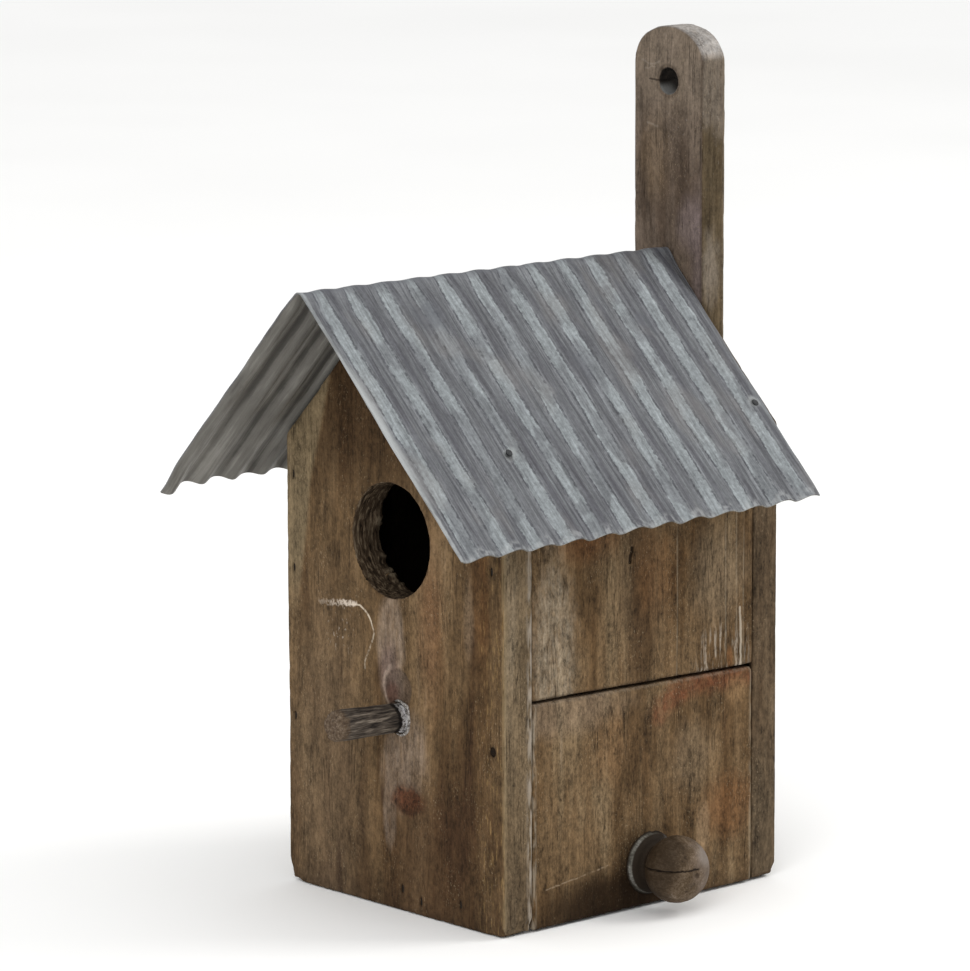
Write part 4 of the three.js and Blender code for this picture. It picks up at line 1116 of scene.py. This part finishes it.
# ------------------------------------------------------------------ the roof sheet
FOLD = SLOPE_R + SLOPE_L
ARC = RIDGE_RADIUS * FOLD
TAN = RIDGE_RADIUS * math.tan(FOLD / 2)
LEN_R = 85.4 / math.cos(SLOPE_R) - TAN
LEN_L = 78.1 / math.cos(SLOPE_L) - TAN
fx = -TAN * math.cos(SLOPE_L) + RIDGE_RADIUS * math.sin(SLOPE_L)
fz = RIDGE_Z - TAN * math.sin(SLOPE_L) - RIDGE_RADIUS * math.cos(SLOPE_L)


def sheet_point(s):
    s = np.asarray(s, float)
    a = np.clip((s + ARC / 2) / ARC, 0, 1) * FOLD - SLOPE_L
    over = np.where(s > ARC / 2, s - ARC / 2, np.where(s < -ARC / 2, s + ARC / 2, 0))
    nx, nz = np.sin(a), np.cos(a)
    return fx + RIDGE_RADIUS * nx + np.cos(a) * over, fz + RIDGE_RADIUS * nz - np.sin(a) * over, nx, nz


def sheet_height(s, y):
    """Height of the sheet's middle over its folded plane: corrugations, dents and bent edges."""
    q = np.stack([s / 34.0, y / 30.0, 0 * s], axis=1)
    amp = (WAVE_H / 2) * (1 + 0.16 * vnoise(q * 1.3, 51))
    phase = 0.55 * vnoise(q, 52)
    t = 2 * math.pi * (y + phase - VALLEY_Y) / PITCH
    wave = -(np.cos(t) + 0.10 * np.cos(2 * t)) / 1.04
    fade = sstep(np.abs(s), ARC / 2 * 0.6, 11.0) * 0.80 + 0.20
    dents = 0.22 * vnoise(q * 0.9 + 9, 53) + 0.10 * vnoise(np.stack([s / 11, y / 9, 0 * s], axis=1), 54)
    dents *= sstep(np.abs(s), 2, 16)
    rip = 0.05 * vnoise(np.stack([s / 3.0, y / 3.0, 0 * s], axis=1), 55)
    eave = np.where(s > 0, LEN_R + ARC / 2 - s, LEN_L + ARC / 2 + s)
    lip = (1 - sstep(eave, 0, 6)) * 0.35 * vnoise(np.stack([0 * s, y / 7.0, 0 * s], axis=1), 56)
    return amp * wave * fade + dents + rip + lip


def back_edge(s):
    e = np.where(s > 0, ROOF_BACK + (ROOF_BACK_EAVE_R - ROOF_BACK) * s / (ARC / 2 + LEN_R), ROOF_BACK)
    # the sheet bulges at the rear nail on the right wing
    return e + 1.1 * np.exp(-(((s - 75.0) / 9.0) ** 2)) - 0.5 * np.exp(-(((s - 95.0) / 10.0) ** 2))


nu, nv = ((176, 236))
sv = np.concatenate([
    np.linspace(-(ARC / 2 + LEN_L - 0.18), -13, int(nu * 0.42)), np.linspace(-12, -ARC / 2, 9), np.linspace(-ARC / 2, ARC / 2, 9)[1:],
    np.linspace(ARC / 2, 12, 9)[1:], np.linspace(13, ARC / 2 + LEN_R - 0.24, int(nu * 0.45)),
])
SS, VV = np.meshgrid(sv, np.linspace(0, 1, nv + 1), indexing="ij")
front_edge = ROOF_FRONT + 0.35 * (vnoise(np.stack([SS.ravel() / 15.0, 0 * SS.ravel(), 0 * SS.ravel()], axis=1), 60) * 0.5 + 0.5).reshape(SS.shape)
YY = front_edge + VV * (back_edge(SS) - front_edge)
s1, y1 = SS.ravel(), YY.ravel()
X0, Z0, NX, NZ = sheet_point(s1)
H0 = sheet_height(s1, y1)
# the whole fold sits very slightly out of true
tt = (y1 + 22.0) / 89.0
away = np.clip(np.abs(s1) / 119.0, 0, 1)
lean = -0.55 * tt * (1 - away) + np.where(s1 > 0, 0.55 * tt, 0.0) * away
# the front corner of the left wing is bent down
lean = lean - 2.2 * sstep(-s1, 95.0, 111.0) * sstep(-y1, 99.0, 110.5)
TH = 0.55
grid = []
for side in (0.5, -0.5):
    h = H0 + side * TH
    grid.append(np.stack([X0 + NX * h, y1, Z0 + NZ * h + lean], axis=1))
nS, nY = SS.shape
verts = np.concatenate(grid)
idx = np.arange(nS * nY).reshape(nS, nY)
off = nS * nY
faces = []
a_, b_, c_, d_ = idx[:-1, :-1].ravel(), idx[1:, :-1].ravel(), idx[1:, 1:].ravel(), idx[:-1, 1:].ravel()
faces += list(zip(a_.tolist(), b_.tolist(), c_.tolist(), d_.tolist()))
faces += list(zip((d_ + off).tolist(), (c_ + off).tolist(), (b_ + off).tolist(), (a_ + off).tolist()))
for row in (idx[0, :], idx[-1, ::-1]):
    faces += [(int(row[k]), int(row[k + 1]), int(row[k + 1] + off), int(row[k] + off)) for k in range(len(row) - 1)]
for col in (idx[::-1, 0], idx[:, -1]):
    faces += [(int(col[k]), int(col[k + 1]), int(col[k + 1] + off), int(col[k] + off)) for k in range(len(col) - 1)]
roof = new_object("roof_sheet_worn", mesh_of("roof_sheet_worn", verts, faces))
bm = bmesh.new()
bm.from_mesh(roof.data)
bmesh.ops.recalc_face_normals(bm, faces=bm.faces)
for e in bm.edges:
    if len(e.link_faces) == 2 and e.calc_face_angle(0) > 1.0:
        e.smooth = False
bm.to_mesh(roof.data)
bm.free()

# ------------------------------------------------------------------ roof nails: domed heads and a shank
def lathe(profile, axis_from, axis_to, n=40, wobble=0.0, seed=0, angles=None):
    """A closed body of revolution: profile of (radius, distance along the axis), from the axis back to the axis."""
    a = Vector(axis_from)
    d = (Vector(axis_to) - a).normalized()
    helper = Vector((0, 0, 1)) if abs(d.z) < 0.9 else Vector((1, 0, 0))
    e1 = d.cross(helper).normalized()
    e2 = e1.cross(d).normalized()
    if angles is None:
        angles = [2 * math.pi * k / n for k in range(n)]
    n = len(angles)
    v, f = [], []
    rings = [p for p in profile if p[0] > 1e-6]
    for r, t in rings:
        for k in angles:
            v.append(a + d * t + e1 * (r * math.cos(k)) + e2 * (r * math.sin(k)))
    first, last = len(v), len(v) + 1
    v.append(a + d * profile[0][1])
    v.append(a + d * profile[-1][1])
    for i in range(len(rings) - 1):
        for k in range(n):
            k2 = (k + 1) % n
            f.append((i * n + k, i * n + k2, (i + 1) * n + k2, (i + 1) * n + k))
    for k in range(n):
        f.append((first, (k + 1) % n, k))
        f.append((last, (len(rings) - 1) * n + k, (len(rings) - 1) * n + (k + 1) % n))
    me = mesh_of("lathe", [tuple(p) for p in v], f)
    bm = bmesh.new()
    bm.from_mesh(me)
    bmesh.ops.recalc_face_normals(bm, faces=bm.faces)
    bm.to_mesh(me)
    bm.free()
    return me


def wing_s(x, slope):
    return abs(x) / math.cos(slope) - TAN + ARC / 2


ROOF_NAILS = {
    "roof_nail_right_front": (56.6, -62.4, SLOPE_R), "roof_nail_right_back": (54.3, 59.8, SLOPE_R),
    "roof_nail_left_front": (-54.0, -61.0, SLOPE_L), "roof_nail_left_back": (-54.0, 61.2, SLOPE_L),
}
nails = []
for name, (nx_, ny_, slope) in ROOF_NAILS.items():
    s_ = math.copysign(wing_s(nx_, slope), nx_)
    px, pz, nn, nm = (float(np.asarray(q)) for q in sheet_point(s_))
    hh = max(float(sheet_height(np.array([s_ + a]), np.array([ny_ + b]))[0]) for a in (-1.2, 0, 1.2) for b in (-1.2, 0, 1.2))
    t_ = (ny_ + 22.0) / 89.0
    w_ = abs(s_) / 119.0
    ln = -0.55 * t_ * (1 - w_) + (0.55 * t_ * w_ if s_ > 0 else 0)
    lift = hh + TH / 2 + 0.04
    foot = Vector((px + nn * lift, ny_, pz + nm * lift + ln))
    up = Vector((nn, 0, nm))
    up = (up + Vector((0.05, 0.06, 0))).normalized()
    prof = [(0, 0.5), (0.4, 0.49), (0.8, 0.44), (1.1, 0.36), (1.3, 0.22), (1.36, 0.1), (1.3, 0.02), (1.1, 0.0),
            (0.9, -0.2), (0.88, -8.0), (0.85, -14.5), (0.4, -16.0), (0, -16.8)]
    me = lathe(prof, foot, foot + up, 28)
    p = coords(me)
    rel = p - np.array(foot)
    top = sstep(rel @ np.array(up), 0.1, 0.5)
    p = p + (vnoise(p * 1.4, 90)[:, None] * 0.10 * top[:, None]) * np.array(up)
    set_coords(me, p)
    o = new_object(name + "_worn", me)
    nails.append((o, name))

# ------------------------------------------------------------------ the knob
kp = [(0, 0), (11.0, 0.02), (11.15, 0.35), (11.1, 1.3), (10.8, 2.0), (10.2, 2.7), (9.2, 3.25), (8.3, 3.6), (7.75, 4.2), (7.6, 4.9),
      (7.8, 5.7), (8.6, 6.5), (9.7, 7.4), (10.7, 8.6), (11.5, 10.0), (12.0, 11.5), (12.22, 13.2), (12.2, 15.0), (11.85, 16.9),
      (11.2, 18.6), (10.2, 20.3), (8.8, 21.9), (7.0, 23.1), (5.0, 23.9), (3.0, 24.25), (1.6, 24.15), (0.9, 23.85), (0, 23.8)]


def resample(profile, step):
    """Points at even steps along a smooth curve through the profile."""
    p = np.array(profile, float)
    n = len(p)
    q = [p[0]]
    for i in range(n - 1):
        p0, p1, p2, p3 = p[max(i - 1, 0)], p[i], p[i + 1], p[min(i + 2, n - 1)]
        m = max(2, int(np.linalg.norm(p2 - p1) / step) + 1)
        for k in range(1, m + 1):
            t = k / m
            q.append(0.5 * (2 * p1 + (p2 - p0) * t + (2 * p0 - 5 * p1 + 4 * p2 - p3) * t * t + (3 * p1 - p0 - 3 * p2 + p3) * t**3))
    q = np.array(q)
    q[:, 0] = np.maximum(q[:, 0], 0)
    q[0, 0] = q[-1, 0] = 0
    keep = [0] + [i for i in range(1, len(q) - 1) if q[i, 0] > 0.05] + [len(q) - 1]
    return [tuple(v) for v in q[keep]]


# angle 0 in the lathe is e1 = axis x up = +X x +Z = -Y; the check runs along the head at that side
ang = sorted(set([2 * math.pi * k / 88 for k in range(88)] + [math.asin(max(-1, min(1, t / 12.0))) % (2 * math.pi) for t in np.linspace(0.6, 3.0, 13)]))
km = lathe(resample(kp, 0.6), KNOB, (KNOB[0] + 1, KNOB[1], KNOB[2]), angles=ang)
p = coords(km)
ax = np.array(KNOB)
rad = p - ax
rad[:, 0] = 0
rr = np.maximum(np.linalg.norm(rad, axis=1), 1e-6)
t = p[:, 0] - KNOB[0]
un = rad / rr[:, None]
# slightly out of round, tool marks, and the check
shrink = 0.10 + 0.10 * vnoise(p / 7.0, 70) + 0.05 * np.sin(t * 2.6) * sstep(t, 5, 8) + 0.05 * vnoise(p / np.array([4.0, 1.2, 1.2]), 71)
chip = 0.6 * np.clip(vnoise(p / 2.2, 72) - 0.35, 0, 1) * (1 - sstep(t, 1.8, 3.0)) * sstep(rr, 9, 10.5)
zc = 18.0 + 0.45 * vnoise(np.stack([t / 4.0, 0 * t, 0 * t], axis=1), 73)
onside = sstep(-rad[:, 1], -1.0, 1.5) * sstep(t, 5.5, 8.5) * (1 - sstep(t, 23.4, 24.2))
groove = 0.85 * (1 - sstep(np.abs(p[:, 2] - zc), 0.10, 0.42)) * onside
amount = (np.maximum(shrink, 0) + chip) * sstep(rr, 0.3, 2.0)
p = p - un * np.minimum(amount + groove, rr * 0.5)[:, None]
set_coords(km, p)
knob = new_object("door_knob_turned", km)
boolean(knob, [rod_mesh((KNOB[0] - 3, KNOB[1], KNOB[2]), (71.2, KNOB[1], KNOB[2]), 1.95, n=16)])
knob.data.polygons.foreach_set("use_smooth", np.ones(len(knob.data.polygons), bool))

# ------------------------------------------------------------------ the perch and the glue at its foot
nt_, nl_ = (64, 60)
helper = Vector((0, 0, 1))
e1 = PDIR.cross(helper).normalized()
e2 = e1.cross(PDIR).normalized()
v, f = [], []
tl = np.concatenate([np.linspace(-13.3, 0, 12)[:-1], np.linspace(0, 30.2, nl_)])
for t in tl:
    for k in range(nt_):
        a = 2 * math.pi * k / nt_
        v.append((t, a, 1.0))
TA = np.array(v)
ca_, sa_ = np.cos(TA[:, 1]), np.sin(TA[:, 1])
q = np.stack([ca_ * 5.2, sa_ * 5.2, TA[:, 0] / 16.0], axis=1)
bark = 0.42 * np.clip(vnoise(q * 0.62, 61), -0.2, 1) + 0.30 * np.clip(vnoise(q * np.array([1.3, 1.3, 2.0]), 62), 0, 1) + 0.10 * np.clip(vnoise(q * np.array([2.4, 2.4, 6.0]), 63), 0, 1)
out = sstep(TA[:, 0], -2, 1)
radius = 5.82 - 0.45 * (1 - sstep(TA[:, 0], 3.0, 26.0)) * out - bark * out - 0.5 * sstep(TA[:, 0], 28.6, 30.2) ** 2 - 0.25 * (1 - sstep(np.abs(TA[:, 0] - 1.0), 0.2, 1.6))
along_ = TA[:, 0] + sstep(TA[:, 0], 24, 30.2) * (0.5 * vnoise(np.stack([ca_ * 1.3, sa_ * 1.3, 0 * ca_], axis=1), 64) - 0.1)
P0, D0, E1, E2 = (np.array(k) for k in (PFACE, PDIR, e1, e2))
pts = P0 + along_[:, None] * D0 + radius[:, None] * (ca_[:, None] * E1 + sa_[:, None] * E2)
pts = pts.tolist()
m = len(tl)
for i in range(m - 1):
    for k in range(nt_):
        k2 = (k + 1) % nt_
        f.append((i * nt_ + k, (i + 1) * nt_ + k, (i + 1) * nt_ + k2, i * nt_ + k2))
# end face in rings, broken rather than sawn
last = list(range((m - 1) * nt_, m * nt_))
for ring, fr in enumerate((0.86, 0.68, 0.5, 0.32, 0.15)):
    base = len(pts)
    for k in range(nt_):
        a = 2 * math.pi * k / nt_
        r = 5.2 * fr
        q1 = np.array([[math.cos(a) * r / 1.6, math.sin(a) * r / 1.6, 3.3]])
        t = 30.2 + 0.45 * float(vnoise(q1, 65)[0]) + 0.35 * (1 - fr)
        pts.append((P0 + t * D0 + r * (math.cos(a) * E1 + math.sin(a) * E2)).tolist())
    now = list(range(base, base + nt_))
    for k in range(nt_):
        k2 = (k + 1) % nt_
        f.append((last[k], now[k], now[k2], last[k2]))
    last = now
tip = len(pts)
pts.append((P0 + 30.6 * D0).tolist())
for k in range(nt_):
    f.append((last[k], tip, last[(k + 1) % nt_]))
butt = len(pts)
pts.append((P0 - 13.3 * D0).tolist())
for k in range(nt_):
    f.append((butt, k, (k + 1) % nt_))
perch = new_object("perch_twig_worn", mesh_of("perch_twig_worn", pts, f))
bm = bmesh.new()
bm.from_mesh(perch.data)
bmesh.ops.recalc_face_normals(bm, faces=bm.faces)
bm.to_mesh(perch.data)
bm.free()

# glue: an uneven crescent on the right of the foot
v, f = [], []
na, nb = 56, 12
for i in range(na + 1):
    u = i / na
    a = math.radians(-96 + 200 * u)
    w = (math.sin(math.pi * u) ** 0.6) * (0.75 + 0.45 * float(vnoise(np.array([[u * 7, 0, 0]]), 66)[0])) + 0.12
    R = 6.1 + 0.45 * w + 0.25 * float(vnoise(np.array([[u * 9, 4, 0]]), 67)[0])
    for k in range(nb):
        b = 2 * math.pi * k / nb
        rr_ = R + math.cos(b) * (0.2 + 0.6 * w)
        yy = FY + 0.15 - max(-0.5, math.sin(b)) * (0.22 + 0.55 * w)
        v.append((PERCH[0] + rr_ * math.cos(a), yy, PERCH[1] + rr_ * math.sin(a)))
for i in range(na):
    for k in range(nb):
        k2 = (k + 1) % nb
        f.append((i * nb + k, (i + 1) * nb + k, (i + 1) * nb + k2, i * nb + k2))
f.append(tuple(range(nb)))
f.append(tuple(range((na + 1) * nb - 1, na * nb - 1, -1)))
glue = new_object("perch_glue_bead", mesh_of("perch_glue_bead", v, f))
bm = bmesh.new()
bm.from_mesh(glue.data)
bmesh.ops.recalc_face_normals(bm, faces=bm.faces)
bm.to_mesh(glue.data)
bm.free()

# ------------------------------------------------------------------ materials, riding and replacing
mats = {
    "front": front_material(),
    "bore": bore_material(),
    "edge": edge_material(),
    "back": plain_board("back_board_wood", DARKER, 0.3, tweak=back_tweak),
    "left": plain_board("left_panel_wood", BROWN, 0.35, tweak=left_tweak),
    "right": plain_board("right_panel_wood", SIDE, 0.0, tweak=side_tweak),
    "door": plain_board("door_wood", SIDE, 0.15, tweak=door_tweak),
    "floor": plain_board("floor_wood", DARKER, 0.1, along="x"),
    "post": plain_board("post_wood", POSTC, 0.25, tweak=post_tweak, tint=(0.98, 0.965, 0.935), gain=0.66),
    "knob": knob_material(),
    "perch": perch_material(),
    "glue": glue_material(),
    "roof": roof_material(),
    "dark_nail": nail_material("dark_steel", [(0.25, (16, 14, 12)), (0.6, (34, 29, 25)), (0.85, (58, 44, 34))], 0.6, 0.6),
    "pivot": nail_material("pivot_steel", [(0.25, (16, 12, 8)), (0.55, (30, 22, 15)), (0.85, (56, 42, 28))], 0.9, 0.0, 0.1),
    "roof_nail": nail_material("galvanised_nail", [(0.25, (38, 38, 38)), (0.55, (60, 61, 62)), (0.85, (98, 100, 100))], 0.7, 0.3, 0.2),
}


def place(o, mat, body, slot, *nodes):
    o.data.materials.clear()
    o.data.materials.append(mats[mat])
    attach(o, body)
    if nodes:
        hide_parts(*nodes)


place(front, "front", "house", "board_wood", "front_board")
front.data.materials.append(mats["bore"])
front.data.materials.append(mats["edge"])
me = front.data
nrm = np.zeros(len(me.polygons) * 3, np.float32)
cen = np.zeros(len(me.polygons) * 3, np.float32)
me.polygons.foreach_get("normal", nrm)
me.polygons.foreach_get("center", cen)
nrm, cen = nrm.reshape(-1, 3), cen.reshape(-1, 3) / MM
away_ = np.hypot(cen[:, 0] - HOLE[0], cen[:, 2] - HOLE[1])
which = np.zeros(len(me.polygons), np.int32)
which[(away_ < 22.6) & (np.abs(nrm[:, 1]) < 0.75)] = 1
which[(cen[:, 0] > 57.6) & (nrm[:, 0] > 0.72) & (away_ > 30)] = 2
me.polygons.foreach_set("material_index", which)
me.update()
place(back, "back", "house", "board_wood", "back_board")
place(left, "left", "house", "board_wood", "left_side_panel")
place(right, "right", "house", "board_wood", "right_side_panel")
place(floor_b, "floor", "house", "board_wood", "floor_board")
place(door, "door", "door", "board_wood", "cleanout_door")
place(post, "post", "house", "post_wood", "hanging_post")
place(knob, "knob", "door", "knob_wood", "door_knob")
place(perch, "perch", "house", "perch_twig", "perch")
place(glue, "glue", "house", None)
place(roof, "roof", "house", "galvanised_sheet", "roof_sheet")
for o, name in nails:
    place(o, "roof_nail", "house", "galvanised_nail", name)
for name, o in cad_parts.items():
    if "brad" in name or "screw" in name or "pivot" in name:
        steel = mats["pivot" if "pivot" in name else "dark_nail"]
        if o.material_slots:
            o.material_slots[0].material = steel
        else:
            o.data.materials.append(steel)

# ------------------------------------------------------------------ floor, light and camera
sc = bpy.context.scene
fm = G("pale_floor")
fn = fm.noise(400, 400, 400, 2.0)
floor_mat = fm.finish(fm.ramp(fn, [(0.2, (244, 244, 243)), (0.8, (248, 248, 247))]), 0.9, spec=0.1)
ground = new_object("ground", mesh_of("ground", [(-9000, -9000, -0.25), (9000, -9000, -0.25), (9000, 9000, -0.25), (-9000, 9000, -0.25)], [(0, 1, 2, 3)]))
ground.data.materials.append(floor_mat)

world = bpy.data.worlds.new("studio")
sc.world = world
world.use_nodes = True
bgn = world.node_tree.nodes["Background"]
bgn.inputs[0].default_value = (1.0, 1.0, 1.0, 1.0)
bgn.inputs[1].default_value = 0.80


def area(name, at, to, size, power, colour=(1, 1, 1)):
    d = bpy.data.lights.new(name, "AREA")
    d.shape = "RECTANGLE"
    d.size, d.size_y = size
    d.energy = power
    d.color = colour
    o = bpy.data.objects.new(name, d)
    sc.collection.objects.link(o)
    o.location = at
    o.rotation_euler = (Vector(to) - Vector(at)).to_track_quat("-Z", "Y").to_euler()
    return o


area("front", (1.3, -2.0, 1.5), (0.0, 0.0, 0.12), (1.3, 1.3), 26.0, (1.0, 1.0, 1.0))
area("rear", (0.95, 1.35, 1.5), (0.03, 0.0, 0.08), (0.8, 0.8), 15.0, (1.0, 0.99, 0.97))
sun = bpy.data.lights.new("sky", "SUN")
sun.energy = 0.55
sun.angle = math.radians(50)
sky = bpy.data.objects.new("sky", sun)
sc.collection.objects.link(sky)
sky.rotation_euler = (math.radians(8), math.radians(10), 0)

az, el, roll = math.radians(48.11), math.radians(10.53), math.radians(-0.19)
r = Vector((math.cos(az), math.sin(az), 0))
fw = Vector((-math.sin(az) * math.cos(el), math.cos(az) * math.cos(el), -math.sin(el)))
up = r.cross(fw)
r2 = math.cos(roll) * r + math.sin(roll) * up
up2 = -math.sin(roll) * r + math.cos(roll) * up
C = Vector((0, 0, 0.150)) + r2 * -0.0172 + up2 * -0.0027 - fw * 2.119
cd = bpy.data.cameras.new("camera")
cd.sensor_width = 36.0
cd.lens = 5806.0 * 36.0 / 971.0
cd.clip_start, cd.clip_end = 0.05, 60.0
cam = bpy.data.objects.new("camera", cd)
sc.collection.objects.link(cam)
cam.matrix_world = Matrix(((r2.x, up2.x, -fw.x, C.x), (r2.y, up2.y, -fw.y, C.y), (r2.z, up2.z, -fw.z, C.z), (0, 0, 0, 1)))
sc.camera = cam
sc.view_settings.view_transform = "Standard"
sc.view_settings.look = "None"
sc.view_settings.exposure = 0.0
sc.view_settings.gamma = 1.0
